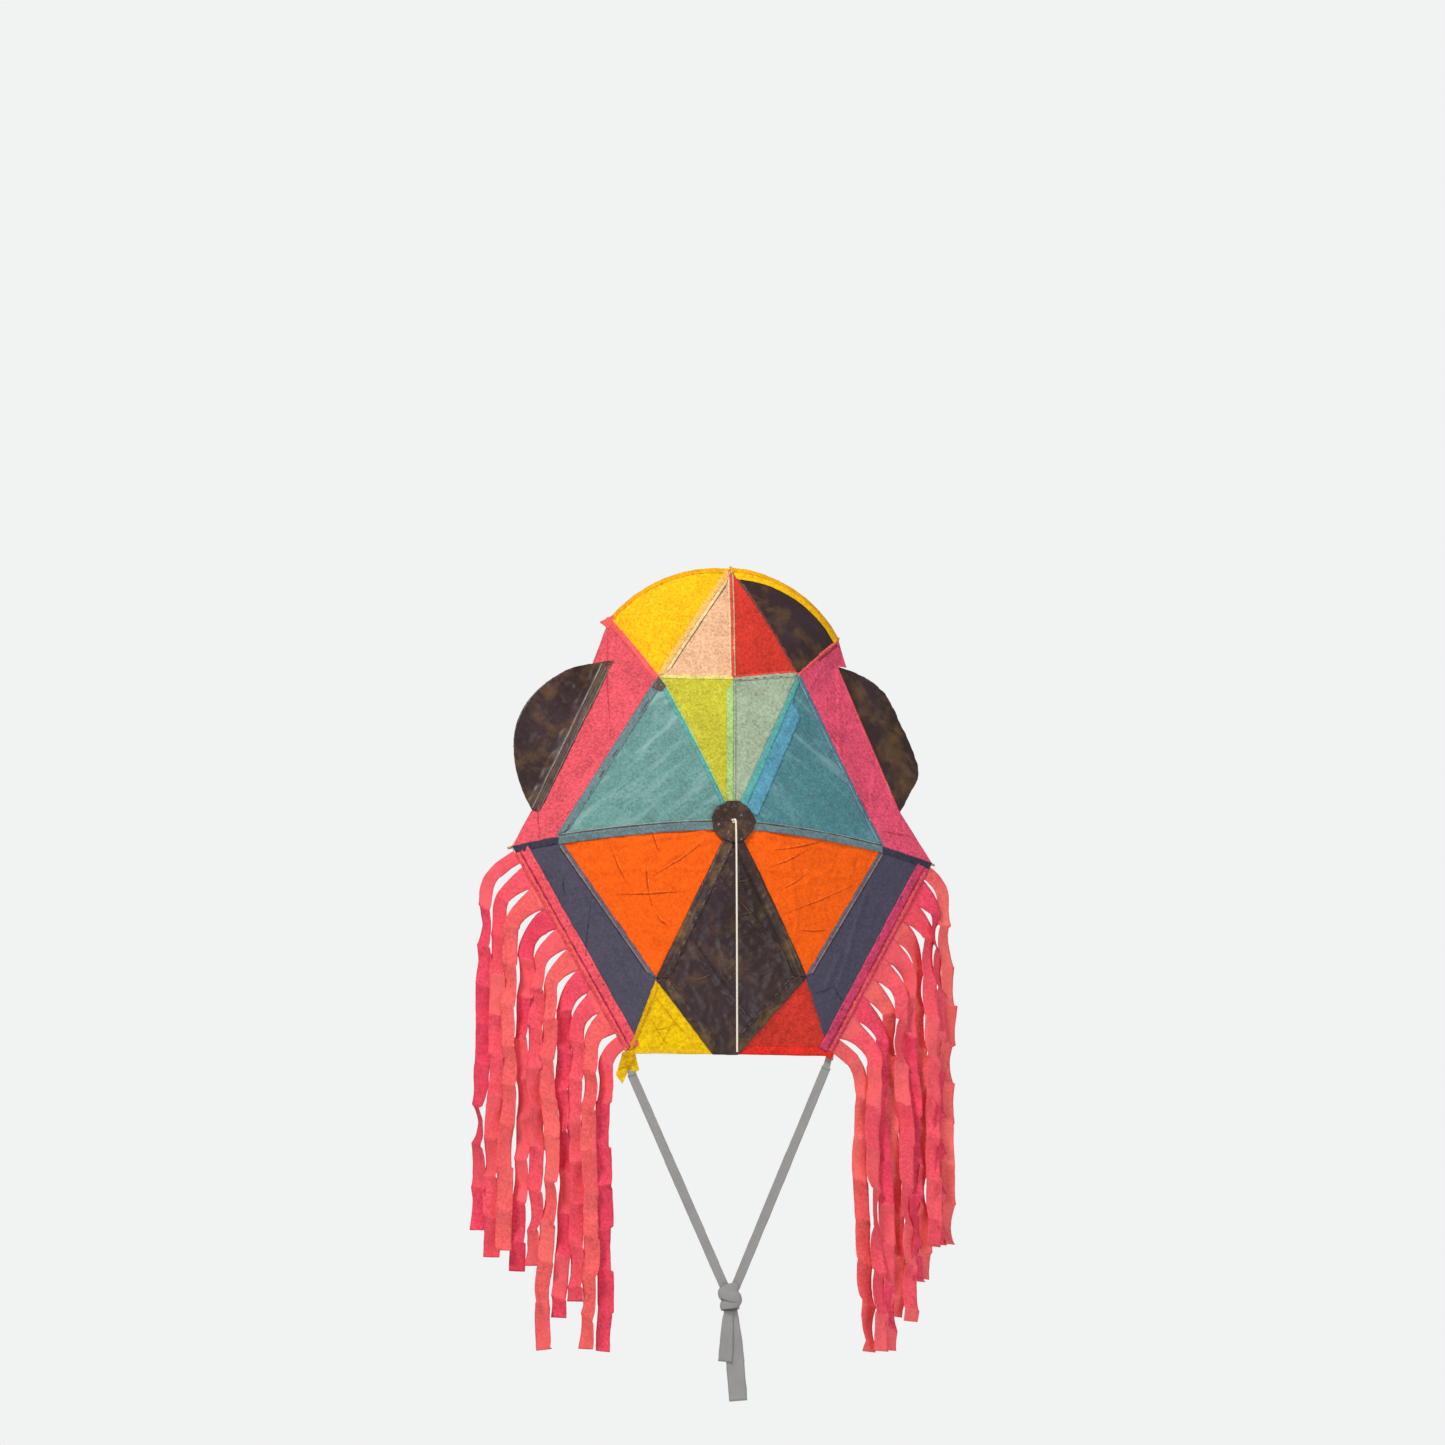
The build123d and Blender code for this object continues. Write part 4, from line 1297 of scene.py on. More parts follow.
        run = ring["in_top_right"] / np.linalg.norm(ring["in_top_right"])
        square = np.array([run[1], -run[0]])
        band = [run * 22, run * 22 + square * 24, run * 178 + square * 24, run * 190 + square * 8, run * 226]
        sheet = Sheet("blue_strip_paper", band, papers["sky"], 20, [crumple(0.3, 15, 5)], ragged=0.5,
                      lift=0.75)
        sheet.lay([run * 20 - square * 2.5, run * 20 + square * 8, run * 224 + square * 6, run * 230],
                  papers["turquoise"], 0.4)
        sheet.made("blue_paper", "paper_blue_strip")
        return {"FINISHED"}


class KITE_OT_side_papers(Operator):
    """Cuts the pink side papers with their loose flaps"""

    bl_idname = "kite.side_papers"
    bl_label = "Side papers"

    def execute(self, context):
        paint = context.scene.kite_colours
        pink = tissue("Pink tissue", tuple(paint.pink), contrast=1.2)
        rose = tissue("Rose tissue", tint(218, 78, 108), contrast=1.3)
        shade = lap("Pink shade")
        coral = tissue("Coral tissue", tuple(paint.coral))
        ivory = lap("Ivory lap")
        smudge = lap("Smudged lap")
        outline = ["top_left", "flap_left", "hummer_top_left", "hummer_foot_left", "side_left",
                   "in_side_left", "in_top_left"]
        sheet = Sheet("pink_paper_left", outline, pink, 31,
                      [crumple(0.35, 24, 12), fold((-151, 292), (-150, 120), 0.8),
                       fold((-237, 52), (-236, -12), 0.8),
                       fold((-100, 200), (-210, 120), 0.4), pull(ring["top_left"], 1.6, 40, 8, 6)])
        sheet.hem(("in_top_left", "top_left"), -1, 6, coral, 0.5)
        sheet.hem(("hummer_top_left", "hummer_foot_left"), 0, 2.2, coral, 0.3)
        tip = ring["top_left"]
        sheet.lay([tip + np.array([-12, -1]), tip + np.array([-2, -15]), tip + np.array([3, -8]),
                   tip + np.array([5, 4])], coral, 1.0)
        # Painted shade along the two long creases.
        sheet.mark([((-151, 292), (-150, 120)), ((-237, 52), (-236, -12))], 1.6, shade)
        sheet.made("pink_paper", "paper_pink_left")
        outline = ["top_right", "in_top_right", "in_side_right", "side_right", "hummer_foot_right",
                   "hummer_top_right",
                   "flap_right"]
        sheet = Sheet("pink_paper_right", outline, rose, 32,
                      [crumple(0.45, 20, 13), fold((150, 286), (146, 110), 0.8),
                       fold((192, 110), (186, 20), 0.5),
                       fold((224, 40), (222, -10), 0.7), fold((130, 120), (206, 96), 0.7),
                       fold((148, 110), (170, 60), 0.6),
                       pull(ring["in_top_right"], 1.2, 40, 8, 9), pull(ring["side_right"], 1.4, 36, 7, 2)])
        sheet.hem(("top_right", "in_top_right"), 0, 3, coral, 0.4).hem(
            ("top_right", "in_top_right"), 3.2, 6.5, smudge, 0.5, None, (0.05, 0.55))
        sheet.hem(("in_top_right", "in_side_right"), 0, 1.6, ivory, 0.35)
        sheet.hem(("hummer_foot_right", "hummer_top_right"), 0, 2.0, coral, 0.3)
        # Painted shade along creases.
        sheet.mark([((166, 66), (186, 30)), ((128, 150), (150, 118)), ((146, 128), (152, 96)),
                    ((196, 14), (240, 18))], 1.4, shade)
        # Painted highlights in coral beside some creases.
        sheet.mark([((130, 152), (152, 120)), ((134, 190), (142, 164)), ((158, 118), (170, 84))], 1.0, coral)
        sheet.made("pink_paper", "paper_pink_right")
        return {"FINISHED"}


def header_corners(side, bottom):
    """The flat corners of a fringe header: outer top, outer foot, inner foot and inner top."""
    run = (bottom - side) / np.linalg.norm(bottom - side)
    square = np.array([-run[1], run[0]]) * np.sign(run[0])
    outer_top, outer_foot = side + run * 13, bottom - run * 4
    return outer_top, outer_foot, outer_foot + square * HEADER_WIDTH, outer_top + square * HEADER_WIDTH


class KITE_OT_lower_papers(Operator):
    """Cuts the papers below the cross cane, the fringe headers and the corner fold"""

    bl_idname = "kite.lower_papers"
    bl_label = "Lower papers"

    def execute(self, context):
        paint = context.scene.kite_colours
        orange = tissue("Orange tissue", tuple(paint.orange), contrast=0.8)
        painted_orange_shade = lap("Orange shade")
        painted_orange_highlight = lap("Orange light")
        slate = tissue("Slate tissue", tuple(paint.slate), contrast=0.7)
        lemon = tissue("Lemon tissue", tuple(paint.lemon))
        deep_lemon = lap("Lapped lemon")
        red = tissue("Red tissue", tuple(paint.red))
        bright_red = lap("Bright red lap")
        black = glossy_black("Black paper", tuple(paint.black))
        ridge = lap("Slate ridge")
        grey_slate = lap("Grey slate")
        dusk = lap("Dusk slate")
        fringe = tissue("Fringe tissue", tuple(paint.fringe), contrast=1.1)
        magenta = lap("Magenta lap")
        painted_wrinkle_shade = tissue("Crushed pink", tint(168, 42, 84), contrast=2.2)
        coral = tissue("Coral tissue", tuple(paint.coral))
        hub = HUB[[0, 2]]
        for hand, way, seed in (("left", -1, 41), ("right", 1, 42)):
            inner_side, inner_bottom = ring["in_side_" + hand], ring["in_bottom_" + hand]
            outline = ["hub", "in_side_" + hand, "in_bottom_" + hand]
            outline = outline[::-1] if way < 0 else [outline[0], outline[2], outline[1]]
            creases = [fold((way * 70, -10), (way * 84, -150), 0.7),
                       fold((way * 22, -60), (way * 190, -58), 0.6),
                       fold((way * 20, -20), (way * 120, -70), 0.8),
                       fold((way * 30, -14), (way * 150, -30), 0.7),
                       fold((way * 60, -90), (way * 130, -48), 0.5),
                       fold((way * 100, -30), (way * 96, -120), 0.45)]
            sheet = Sheet("orange_paper_" + hand, outline, orange, seed,
                          [crumple(0.4, 26, seed), pull(hub, 1.8, 60, 11, seed),
                           pull(inner_bottom, 1.0, 40, 7, seed + 1),
                           pull(inner_side, 1.4, 44, 8, seed + 2), *creases])
            lines = {
                "left": [((-101, -4), (-92, -38)), ((-108, -46), (-99, -108)), ((-146, -90), (-58, -90)),
                         ((-99, -70), (-33, -24)), ((-95, -116), (-78, -135)), ((-150, -30), (-128, -80))],
                "right": [((68, -113), (157, -65)), ((40, -60), (100, -26)), ((150, -64), (160, -28)),
                          ((52, -34), (120, -14)),
                          ((60, -84), (96, -58)), ((86, -132), (118, -128))],
            }
            # Painted shade along each crease, and a painted highlight just beside it.
            sheet.mark(lines[hand], 1.5, painted_orange_shade).mark([(a + np.array([1.0, 1.2]), b + np.array([1.0, 1.2]))
                                                      for a, b in np.array(lines[hand], float)], 0.9, painted_orange_highlight)
            sheet.made("orange_paper", "paper_orange_" + hand)

            side, bottom = ring["side_" + hand], ring["bottom_" + hand]
            corners = header_corners(side, bottom)
            outline = [side, side + (bottom - side) * 0.03, corners[3], corners[2], bottom, inner_bottom,
                       inner_side]
            middle = (inner_side + inner_bottom + corners[2] + corners[3]) / 4
            long_fold = fold(tuple(middle + np.array([way * 20, 80])),
                             tuple(middle - np.array([way * 34, 92])), 0.7)
            sheet = Sheet("slate_paper_" + hand, outline if way < 0 else outline[::-1], slate, seed + 4,
                          [crumple(0.3, 30, seed + 6), long_fold,
                           fold((way * 118, -206), (way * 142, -150), 0.9)])
            # A grey lap along the seam, a painted highlight on its ridge and painted shade just past it.
            sheet.hem((inner_side, inner_bottom), -0.5, 4.6, grey_slate, 0.5).hem((inner_side, inner_bottom),
                                                                                  3.2, 4.6, ridge, 0.9)
            sheet.hem((inner_side, inner_bottom), 4.6, 5.8, dusk, 0.5)
            sheet.hem((side, inner_side), 0, 9, dusk, 0.5, swell(0.3, 11, 5))
            # Painted shade along two slanting creases.
            slants = {"left": [((-172, -88), (-178, -200)), ((-206, -60), (-204, -84))],
                      "right": [((106, -208), (132, -196)), ((132, -196), (146, -214))]}
            sheet.mark(slants[hand], 1.4, dusk)
            sheet.made("slate_paper", "paper_slate_" + hand)

            outline = np.array(corners)
            sheet = Sheet("header_" + hand, outline if way < 0 else outline[::-1],
                          fringe if way < 0 else magenta, seed + 8,
                          [crumple(0.8, 9, seed + 9)], ragged=0.7, lift=0.6, soften=3, lap=2.0)
            line = [corners[0] + (corners[3] - corners[0]) * 0.3,
                    corners[1] + (corners[2] - corners[1]) * 0.3]
            wide = [corners[0] + (corners[3] - corners[0]) * 0.42,
                    corners[1] + (corners[2] - corners[1]) * 0.42]
            # A band of painted shade for a row of dark wrinkles.
            sheet.lay([line[0], line[1], wide[1], wide[0]], painted_wrinkle_shade, 0.8, swell(0.6, 5, 3))
            sheet.lay([corners[0], corners[1], line[1], line[0]], coral, 0.5, swell(0.5, 6, 5))
            sheet.made("fringe_paper", "fringe_header_" + hand)

        outline = ["hub", "in_bottom_left", "foot_left", "foot_right", "in_bottom_right"]
        sheet = Sheet("dark_diamond_paper", outline, black, 51,
                      [crumple(0.7, 34, 21), crumple(0.35, 15, 22), pull(hub, 2.2, 50, 7, 23),
                       fold((-66, -150), (34, -262), 1.4, 5),
                       fold((-26, -78), (66, -182), 1.4, 5), fold((20, -60), (70, -180), 0.8, 6),
                       fold((0, -210), (64, -160), 0.8, 9)],
                      ragged=0.6, lift=0.35)
        # Near-black paper for painted fold shadows, brown paper for painted highlights and a hem paper with
        # strong brown painted sheen.
        painted_fold_shadow = glossy_black("Black fold", tint(24, 17, 16), painted_sheen_share=0.0)
        painted_highlight = glossy_black("Gilded crease", tint(104, 80, 46), painted_sheen_share=0.3)
        painted_light = glossy_black("Worn black paper", tint(66, 48, 32), painted_sheen_share=0.95)
        for edge in (("hub", "in_bottom_left"), ("in_bottom_left", "foot_left"), ("in_bottom_right", "hub"),
                     ("foot_right", "in_bottom_right")):
            # Folded hems with strong brown painted sheen.
            sheet.hem(edge, -1.5, 12, painted_light, 0.7, lambda x, z: 0.7 * crush(x, z, 13, 8))
            sheet.hem(edge, 10.6, 13.2, black, 1.3, swell(0.5, 13, 9))
        # Painted shadows along the folds.
        sheet.mark([((-24, -60), (58, -150)), ((-60, -136), (40, -256)), ((8, -52), (20, -96))], 2.2,
                   painted_fold_shadow, 0.5)
        # Painted highlights beside the painted fold shadows and on small creases.
        sheet.mark([((-22, -62), (56, -152)), ((-57, -137), (42, -252)), ((-52, -202), (-14, -186)),
                    ((-70, -214), (-50, -200)),
                    ((12, -60), (26, -92)), ((-6, -78), (30, -70)), ((10, -118), (34, -108)),
                    ((50, -236), (72, -216))],
                   1.6, painted_highlight, 0.9)
        sheet.made("black_paper", "paper_dark_diamond")

        sheet = Sheet("yellow_paper_bottom", ["in_bottom_left", "bottom_left", "foot_left"], lemon, 52,
                      [crumple(0.45, 14, 24), fold((-100, -210), (-40, -280), 0.6),
                       fold((-108, -230), (-70, -284), 0.6),
                       fold((-96, -240), (-50, -262), 0.5), pull(ring["bottom_left"], 1.5, 30, 7, 3)])
        sheet.hem(("in_bottom_left", "bottom_left"), -0.5, 5.5, deep_lemon, 0.5)
        # Painted shade along the creases.
        sheet.mark([((-100, -212), (-42, -276)), ((-108, -232), (-72, -280)), ((-62, -238), (-84, -278)),
                    ((-104, -262), (-60, -250))],
                   1.0, deep_lemon)
        sheet.made("yellow_paper", "paper_yellow_bottom")
        sheet = Sheet("red_paper_bottom", ["in_bottom_right", "foot_right", "bottom_right"], red, 53,
                      [crumple(0.5, 14, 25), fold((98, -205), (60, -276), 0.6),
                       pull(ring["bottom_right"], 1.5, 30, 7, 4)])
        sheet.hem(("foot_right", "bottom_right"), -0.5, 9, bright_red, 0.5)
        tip = ring["bottom_right"]
        sheet.lay([tip + np.array([-6, -1]), tip + np.array([1, -6]), tip + np.array([6, 2]),
                   tip + np.array([-1, 6])],
                  bright_red, 1.2)
        sheet.made("red_paper", "paper_red_bottom")

        corner = ring["bottom_left"]
        outline = [(-6, -1), (-12.5, -26), (-5.6, -35), (-0.3, -22), (3.7, -24), (13.2, -19.4), (8.5, -3)]
        sheet = Sheet("corner_tab", [corner + np.array(p) for p in outline], lemon, 54,
                      [crumple(1.0, 11, 26)], ragged=0.3, lift=2.6, soften=3)
        sheet.lay([corner + np.array(p) for p in [(-7, 1), (-11, -20), (-3, -17), (3, -20), (10, -6),
                                                  (8, 3)]], deep_lemon, 0.7)
        sheet.made("yellow_paper", "corner_fold")
        return {"FINISHED"}


def square_to(line, outward):
    """The unit direction nearest to outward that is square to a line."""
    chord = line / np.linalg.norm(line)
    out = outward - chord * (outward @ chord)
    return out / np.linalg.norm(out)


def hummer_mesh(name, top, foot, outward, swept, outline, band, seed, materials, crease_side):
    """A stiff crushed flap whose flat outline is given along its hinge and out from it."""
    chord = (foot - top) / np.linalg.norm(foot - top)
    out = square_to(foot - top, outward)
    back = np.cross(chord, out) * crease_side
    turn = math.radians(swept)
    out = math.cos(turn) * out + math.sin(turn) * back
    normal = np.cross(chord, out)
    normal *= np.sign(-normal[1])
    flat, faces = cut_out(outline, 2.0, 0.5, seed)
    run, reach = flat[:, 0], flat[:, 1]
    relief = 2.2 * (crush(run, reach, 34, seed) - 0.4) + 1.1 * crush(run, reach, 13, seed + 1)
    relief += 3.2 * billow(run, reach, 70, seed + 2) + 0.5 * billow(run, reach, 9, seed + 3)
    relief += 0.35 * np.exp(-(((reach - 8.5) / 1.4) ** 2))
    relief *= smooth((reach - 1) / 14)
    hinge = top - at(0, CORD_FORWARD, 0)
    points = hinge + np.outer(run, chord) + np.outer(reach, out) + np.outer(relief, normal)
    if band:
        on_sail = points.copy()
        x, z = points[:, 0], points[:, 2]
        on_sail[:, 1] = depth_at(x, z) - STAND_OFF - 1.1 - sail_relief(x, z)
        on_sail[:, 1] -= 0.3 * crush(run, reach, 9, seed + 6) + 0.2 * np.exp(-(((reach + 3) / 1.6) ** 2))
        share = smooth((reach + 1.5) / 5.0)[:, None]
        points = on_sail * (1 - share) + points * share
    faces = [face[::-1] for face in faces] if np.cross(chord, out) @ normal < 0 else faces
    middles = np.array([reach[face].mean() for face in faces])
    # Faces along the band's edges take the painted highlight.
    painted_highlight_faces = (middles < -8.6) | ((middles > -2.4) & (middles < -0.7))
    return mesh_object(name, points * MM, faces, materials, painted_highlight_faces.astype(int) if band else None)


class KITE_OT_hummers(Operator):
    """Makes the two stiff black flaps that hum at the sail's sides"""

    bl_idname = "kite.hummers"
    bl_label = "Hummers"

    def execute(self, context):
        paint = context.scene.kite_colours
        black = glossy_black("Black paper", tuple(paint.black))
        # Brown paper for the painted highlights along the band's edges.
        painted_highlight = glossy_black("Gilded crease", tint(104, 80, 46), painted_sheen_share=0.3)
        arc = np.linspace(0.03, 0.97, 22)
        shape = [(1 + 218 * s, 68.0 * np.sin(np.pi * s) ** (0.58 if s < 0.5 else 0.76)) for s in arc]
        left = [(-3, 1), *shape, (221, 1), (222, -9), (-6, -11)]
        made = self.flap("left", at(-1, 0, 0), 0, left, 61, [black, painted_highlight], 1)
        hinge = HUMMER_TOP_LEFT * 0.5 + HUMMER_FOOT_LEFT * 0.5 - at(0, CORD_FORWARD, 0)
        out = square_to(HUMMER_FOOT_LEFT - HUMMER_TOP_LEFT, at(-1, 0, 0))
        (hinge - out * 0.5) * MM
        (hinge + out * 3) * MM
        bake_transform(made)
        right = [(1, 1.5), (8, 22), (24, 47), (34, 58), (46, 65), (70, 68), (100, 69.5), (132, 70),
                 (152, 68), (164, 63), (172, 57), (190, 32), (213, 1.5)]
        made = self.flap("right", at(1, 0, 0), 30, right, 67, [black], -1)
        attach(made, "hummer_right")
        return {"FINISHED"}

    def flap(self, hand, outward, swept, outline, seed, materials, crease_side):
        """One stiff flap, with the part it stands for hidden; the left one has a band pasted on the sail."""
        tops = {"left": HUMMER_TOP_LEFT, "right": HUMMER_TOP_RIGHT}
        feet = {"left": HUMMER_FOOT_LEFT, "right": HUMMER_FOOT_RIGHT}
        hinge = (tops[hand], feet[hand], outward, swept)
        made = hummer_mesh(f"hummer_{hand}_flap", *hinge, outline, hand == "left", seed, materials,
                           crease_side)
        thicken(made, bpy.context.scene.kite_sizes.sheet_thickness * HUMMER_PLIES)
        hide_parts("hummer_" + hand)
        width, length_ = plan_size(outline)
        return made


class KITE_OT_hub(Operator):
    """Makes the crushed black disc over the hub"""

    bl_idname = "kite.hub"
    bl_label = "Hub disc"

    def execute(self, context):
        size = context.scene.kite_sizes
        # Black paper with much brown painted sheen.
        black = glossy_black("Disc paper", tint(62, 45, 30), painted_sheen_share=0.85)
        turn = np.linspace(0, 2 * math.pi, 60, endpoint=False)
        reach = 27.2 + 0.5 * np.sin(5 * turn + 1) + 0.4 * np.sin(11 * turn)
        outline = np.column_stack([reach * np.cos(turn), reach * np.sin(turn)])
        flat, faces = cut_out(outline, 1.2, 0.3, 71)
        x, z = flat[:, 0], flat[:, 1]
        away, bearing = np.hypot(x, z), np.arctan2(z, x)
        rays = np.abs(np.sin(bearing * 6.5 + 1.2 * billow(bearing * 20, away, 9, 2)))
        relief = 1.3 * crush(x, z, 12, 72) + 0.5 * crush(x, z, 5, 73) - 0.9 * (rays - 0.5) * smooth(away / 16)
        y = depth_at(x, z) - STAND_OFF - 2.3 - relief * smooth(away / 12)
        disc = mesh_object("hub_disc_paper", np.column_stack([x, y, z]) * MM, faces, [black])
        thicken(disc, size.sheet_thickness)
        settle(disc, "sail", "black_paper", "hub_disc")
        return {"FINISHED"}


def strip_route(hand, index, ends, reaches):
    """The path of one fringe strip and the way it faces: out from its root, over and straight down."""
    top, foot = (SIDE_LEFT, BOTTOM_LEFT) if hand == "left" else (SIDE_RIGHT, BOTTOM_RIGHT)
    run = foot - top
    inward, drop = math.hypot(run[0], run[1]), -run[2]
    level = at(run[0], run[1], 0) / inward
    front = np.cross(level, at(0, 0, 1))
    front *= -np.sign(front[1])
    count = len(ends)
    root = np.array([inward, -drop]) * (index + 0.5) / count
    away = np.array([-drop, -inward]) / math.hypot(drop, inward)
    start = root - away * 1.0
    first_column, last_column = abs(top[0]) + reaches[0], abs(foot[0]) + reaches[1]
    column = first_column + (last_column - first_column) * index / (count - 1)
    hang = (abs(top[0]) - column) / abs(level[0])
    knee = start + away * ((start[0] - hang) / -away[0])
    over = np.array([hang, knee[1] - 24])
    share = np.linspace(0, 1, 12)[:, None]
    arch = (1 - share) ** 2 * start + 2 * share * (1 - share) * knee + share**2 * over
    end = -ends[index] - top[2]
    down = np.linspace(over[1], end, 22)[1:]
    seed = index * 17 + (5 if hand == "left" else 305)
    fall = over[1] - down
    aside = 5.0 * billow(fall, fall * 0 + seed, 100, 81) * smooth(fall / 90)
    flat = np.vstack([arch, np.column_stack([hang + aside, down])])
    forward = np.concatenate([np.zeros(len(arch)),
                              4.0 * billow(fall, fall * 0 + seed, 110, 82) * smooth(fall / 120)])
    forward += (index % 3 - 1) * 5.0 * smooth(np.arange(len(flat)) / 14)
    base = top - at(0, CORD_FORWARD, 0)
    points = base + np.outer(flat[:, 0], level) + np.outer(flat[:, 1], at(0, 0, 1)) + np.outer(forward, front)
    return points * MM, np.tile(front, (len(points), 1))


class KITE_OT_fringes(Operator):
    """Hangs the folded strips of the two fringes"""

    bl_idname = "kite.fringes"
    bl_label = "Fringes"

    def execute(self, context):
        size, paint = context.scene.kite_sizes, context.scene.kite_colours
        coral, rose = tuple(paint.fringe), tuple(paint.rose)
        between = tuple(a * 0.45 + b * 0.55 for a, b in zip(coral, rose))
        shades = [
            tissue("Fringe strip", coral, contrast=0.9, panels=True),
            tissue("Fringe rose", between, contrast=0.9, panels=True),
            tissue("Fringe coral", tint(240, 98, 98), contrast=0.9, panels=True),
        ]
        fringes = {
            "left": ([503, 537, 530, 553, 548, 650, 610, 592, 650, 652], (31, 28)),
            "right": ([506, 508, 512, 551, 556, 606, 600, 642, 645, 645], (17, 44)),
        }
        for hand, (ends, reaches) in fringes.items():
            for i in range(len(ends)):
                points, facing = strip_route(hand, i, ends, reaches)
                shape = {
                    "width": size.strip_width,
                    "step": 0.0025,
                    "fold_spacing": size.fold_spacing,
                    "fold_depth": size.fold_depth,
                    "jog": 0.0022,
                    "twist": size.strip_twist,
                    "curl": 0.004,
                    "root_width": 0.02 if i in (0, 9) else 0.034 if hand == "left" else 0.037,
                    "seed": float(i * 2 + (1 if hand == "left" else 40)),
                }
                name = f"strip_{hand}_{i + 1:02d}"
                strip = grow(name, points, strip_tree(), shades[(i * 2 + len(hand)) % 3], facing=facing,
                             **shape)
                thicken(strip, size.sheet_thickness)
                root = points[0]
                outwards = (points[2] - root) / np.linalg.norm(points[2] - root)
                bends = {"start": root + outwards * 0.001, "end": root + outwards * 0.009}
                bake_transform(strip)
                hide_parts(f"fringe_strip_{hand}_{i + 1:02d}")
        return {"FINISHED"}


def wrap(name, centre, across, deep, height, lean, cloth, seed):
    """A turn of ribbon pulled tight round the knot."""
    turn = np.linspace(0, 2 * math.pi, 56, endpoint=False)
    rows = np.linspace(-0.5, 0.5, 9)
    points, faces = [], []
    for k, row in enumerate(rows):
        pinch = 1 - 0.16 * (2 * row) ** 2 + 0.05 * billow(turn * 9, turn * 0 + k * 2.0, 5, seed)
        x = across / 2 * np.sign(np.cos(turn)) * np.abs(np.cos(turn)) ** 0.8 * pinch
        y = deep / 2 * np.sin(turn) * pinch
        z = row * height + 0.8 * billow(turn * 6, turn * 0 + k * 3.0, 7, seed + 1) + lean * np.cos(turn)
        points.append(np.column_stack([centre[0] + x, centre[1] + y, centre[2] + z]))
    n = len(turn)
    for k in range(len(rows) - 1):
        for i in range(n):
            j = (i + 1) % n
            faces.append([k * n + i, k * n + j, (k + 1) * n + j, (k + 1) * n + i])
    made = mesh_object(name, np.vstack(points) * MM, faces, [cloth])
    thicken(made, KNOT_THICKNESS)
    return made


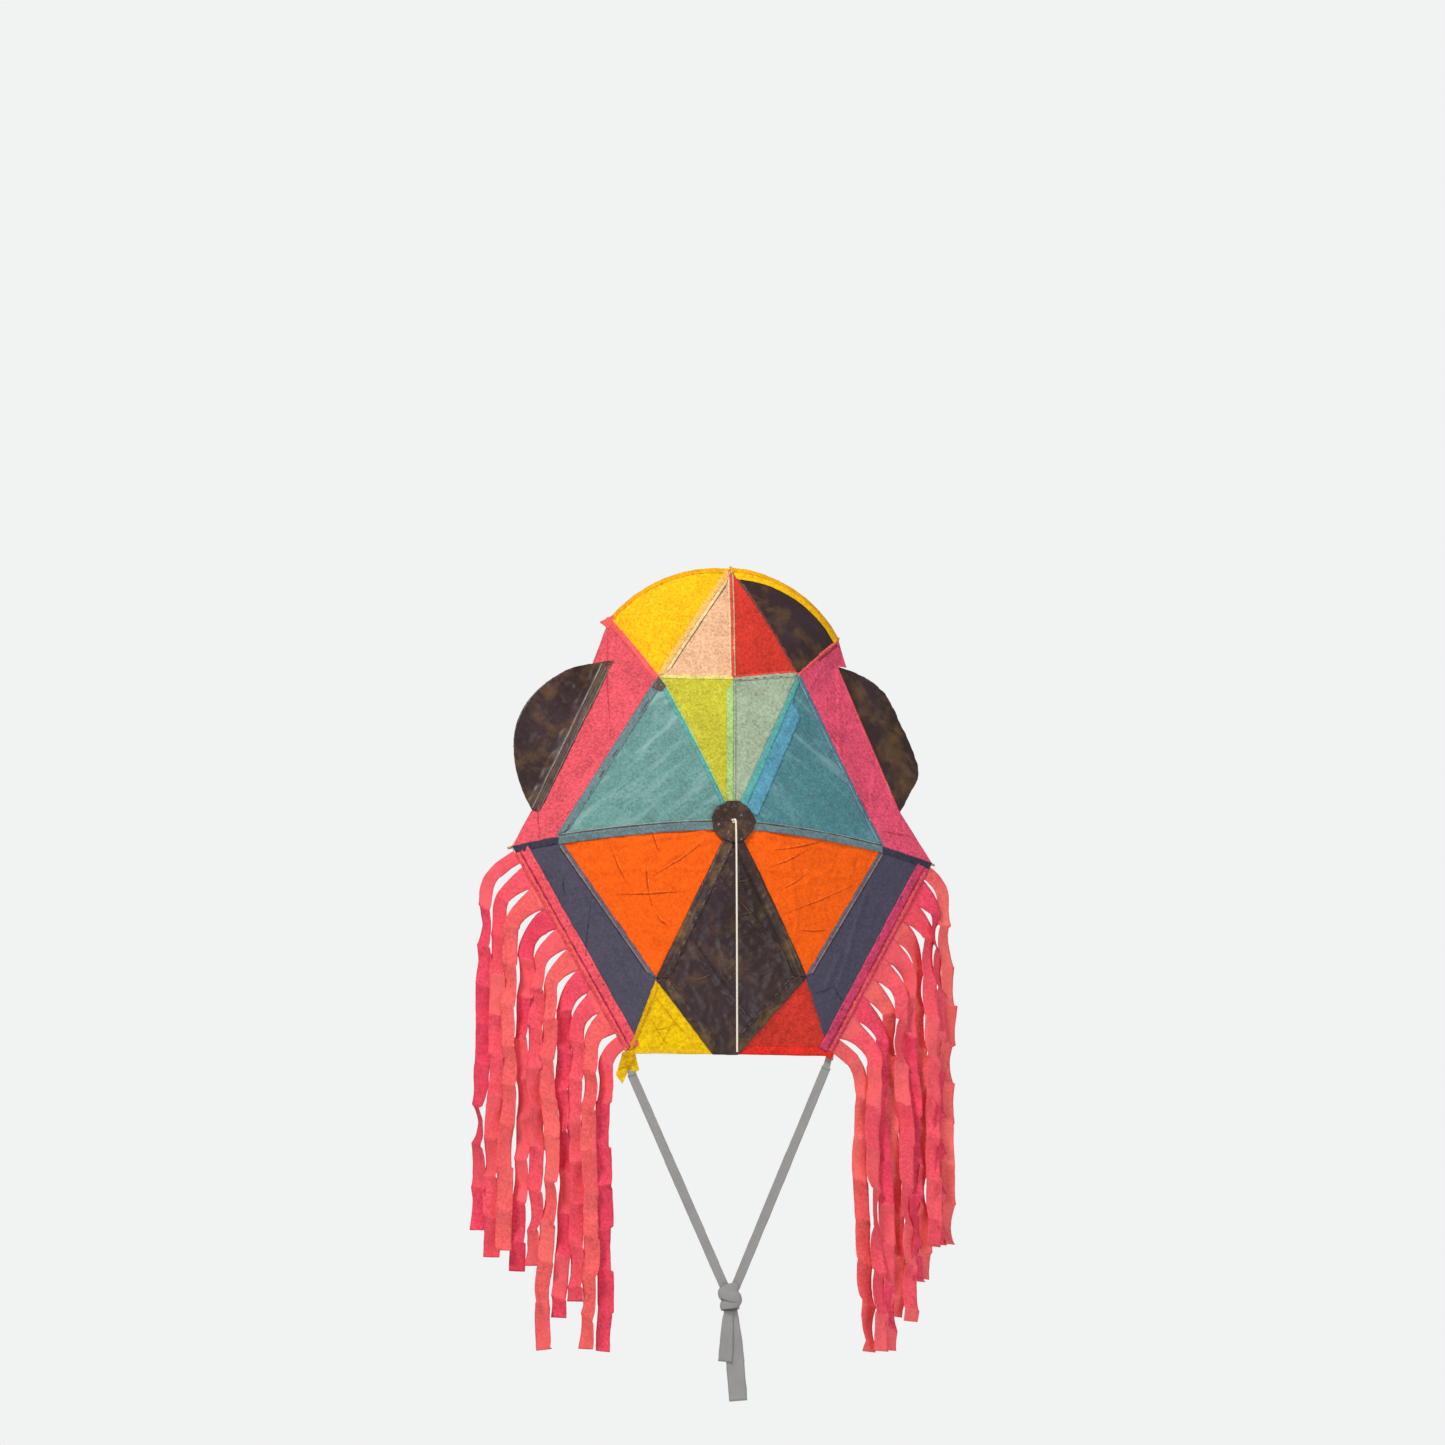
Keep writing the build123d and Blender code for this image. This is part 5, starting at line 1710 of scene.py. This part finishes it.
class KITE_OT_tail(Operator):
    """Ties the ribbon loop of the tail, its knot and its loose ends"""

    bl_idname = "kite.tail"
    bl_label = "Tail"

    def execute(self, context):
        size, paint = context.scene.kite_sizes, context.scene.kite_colours
        cloth = woven("Grey ribbon", tuple(paint.ribbon))
        front = at(0, -1, 0)
        knot = at(3, 53, -582)
        flat = {"step": RIBBON_STEP, "fold_spacing": 0.09, "jog": 0.0, "seed": 3.0}
        legs = {"left": (at(-117, 53, -316), -1), "right": (at(122, 53, -300), 1)}
        for hand, (top, way) in legs.items():
            foot = knot + at(way * 6.5, 0, 10)
            share = np.linspace(-0.016, 1, 18)[:, None]
            path = (top + (foot - top) * share) * MM
            leg = grow("tail_ribbon_" + hand, path, strip_tree(), cloth, facing=np.tile(front, (18, 1)),
                       width=size.ribbon_width, root_width=size.ribbon_width, fold_depth=0.0006, twist=0.35,
                       curl=0.002, **flat)
            thicken(leg, RIBBON_THICKNESS)
            settle(leg, "tail_loop", "grey_ribbon", "tail_leg_" + hand)
        upper = wrap("tail_knot_ribbon", knot + at(0, 0, 7), 22, 14, 14, 2.5, cloth, 91)
        middle = wrap("knot_turn", knot + at(0, 0, -1), 28, 16, 15, -3.5, cloth, 93)
        lower = wrap("knot_turn", knot + at(0, 0, -11), 24, 13, 11, 1.0, cloth, 95)
        lump = joined("tail_knot_ribbon", [upper, middle, lower])
        settle(lump, "tail_loop", "grey_ribbon", "tail_knot")
        drops = {
            "long": (at(4, 53, -599.5), at(13, 53, -708), 0.0235, 2.0),
            "short": (at(1, 51.8, -599.5), at(-3, 51.8, -662), 0.0165, 7.0),
        }
        for kind, (top, foot, width, seed) in drops.items():
            share = np.linspace(0, 1, 12)[:, None]
            path = (top + (foot - top) * share) * MM
            shape = {"step": RIBBON_STEP, "fold_spacing": 0.05, "jog": 0.0, "seed": seed, "fold_depth": 0.0012,
                     "twist": 0.25}
            end = grow("ribbon_end_" + kind, path, strip_tree(), cloth, facing=np.tile(front, (12, 1)),
                       width=width, root_width=width * 0.7, curl=0.003, **shape)
            thicken(end, RIBBON_THICKNESS)
            settle(end, "tail_ends", "grey_ribbon", "tail_end_" + kind)
        hitches = []
        for tip, top in ((BOTTOM_LEFT, legs["left"][0]), (BOTTOM_RIGHT, legs["right"][0])):
            inward = tip / np.linalg.norm(tip)
            peak = tip + inward * 2 + at(0, 1, 0)
            path = np.array([peak + at(0, 0, 4), peak * 0.5 + top * 0.5, top + at(0, 0, 1)]) * MM
            drop = grow("tail_hitch", path, strip_tree(), cloth, facing=np.tile(front, (3, 1)),
                        width=size.ribbon_width,
                        root_width=0.008, fold_depth=0.0005, twist=0.0, curl=0.002, **flat)
            thicken(drop, RIBBON_THICKNESS)
            hitches.append(drop)
            hitches.append(wrap("tail_hitch", peak, 9.0, 8.0, 7.0, 1.2, cloth, 97))
        settle(joined("tail_hitch", hitches), "sail", "grey_ribbon", "tail_hitches")
        return {"FINISHED"}


class KITE_PT_panel(Panel):
    """The steps of the kite, in order, and its sizes and colours"""

    bl_label = "Paper Kite"
    bl_space_type = "VIEW_3D"
    bl_region_type = "UI"
    bl_category = "Kite"

    def draw(self, context):
        for step in STEPS:
            self.layout.operator(step.bl_idname)
        for group in (context.scene.kite_sizes, context.scene.kite_colours):
            column = self.layout.column(align=True)
            for name in group.__annotations__:
                column.prop(group, name)


STEPS = (
    KITE_OT_stage,
    KITE_OT_line,
    KITE_OT_canes,
    KITE_OT_upper_papers,
    KITE_OT_side_papers,
    KITE_OT_lower_papers,
    KITE_OT_hummers,
    KITE_OT_hub,
    KITE_OT_fringes,
    KITE_OT_tail,
)
CLASSES = (KiteSizes, KiteColours, *STEPS, KITE_PT_panel)


def register():
    for made in CLASSES:
        bpy.utils.register_class(made)
    bpy.types.Scene.kite_sizes = PointerProperty(type=KiteSizes)
    bpy.types.Scene.kite_colours = PointerProperty(type=KiteColours)


def unregister():
    del bpy.types.Scene.kite_sizes
    del bpy.types.Scene.kite_colours
    for made in reversed(CLASSES):
        bpy.utils.unregister_class(made)


def main():
    """Runs the steps in order."""
    register()
    for step in STEPS:
        family, name = step.bl_idname.split(".")
        getattr(getattr(bpy.ops, family), name)()


if __name__ == "__main__":
    main()
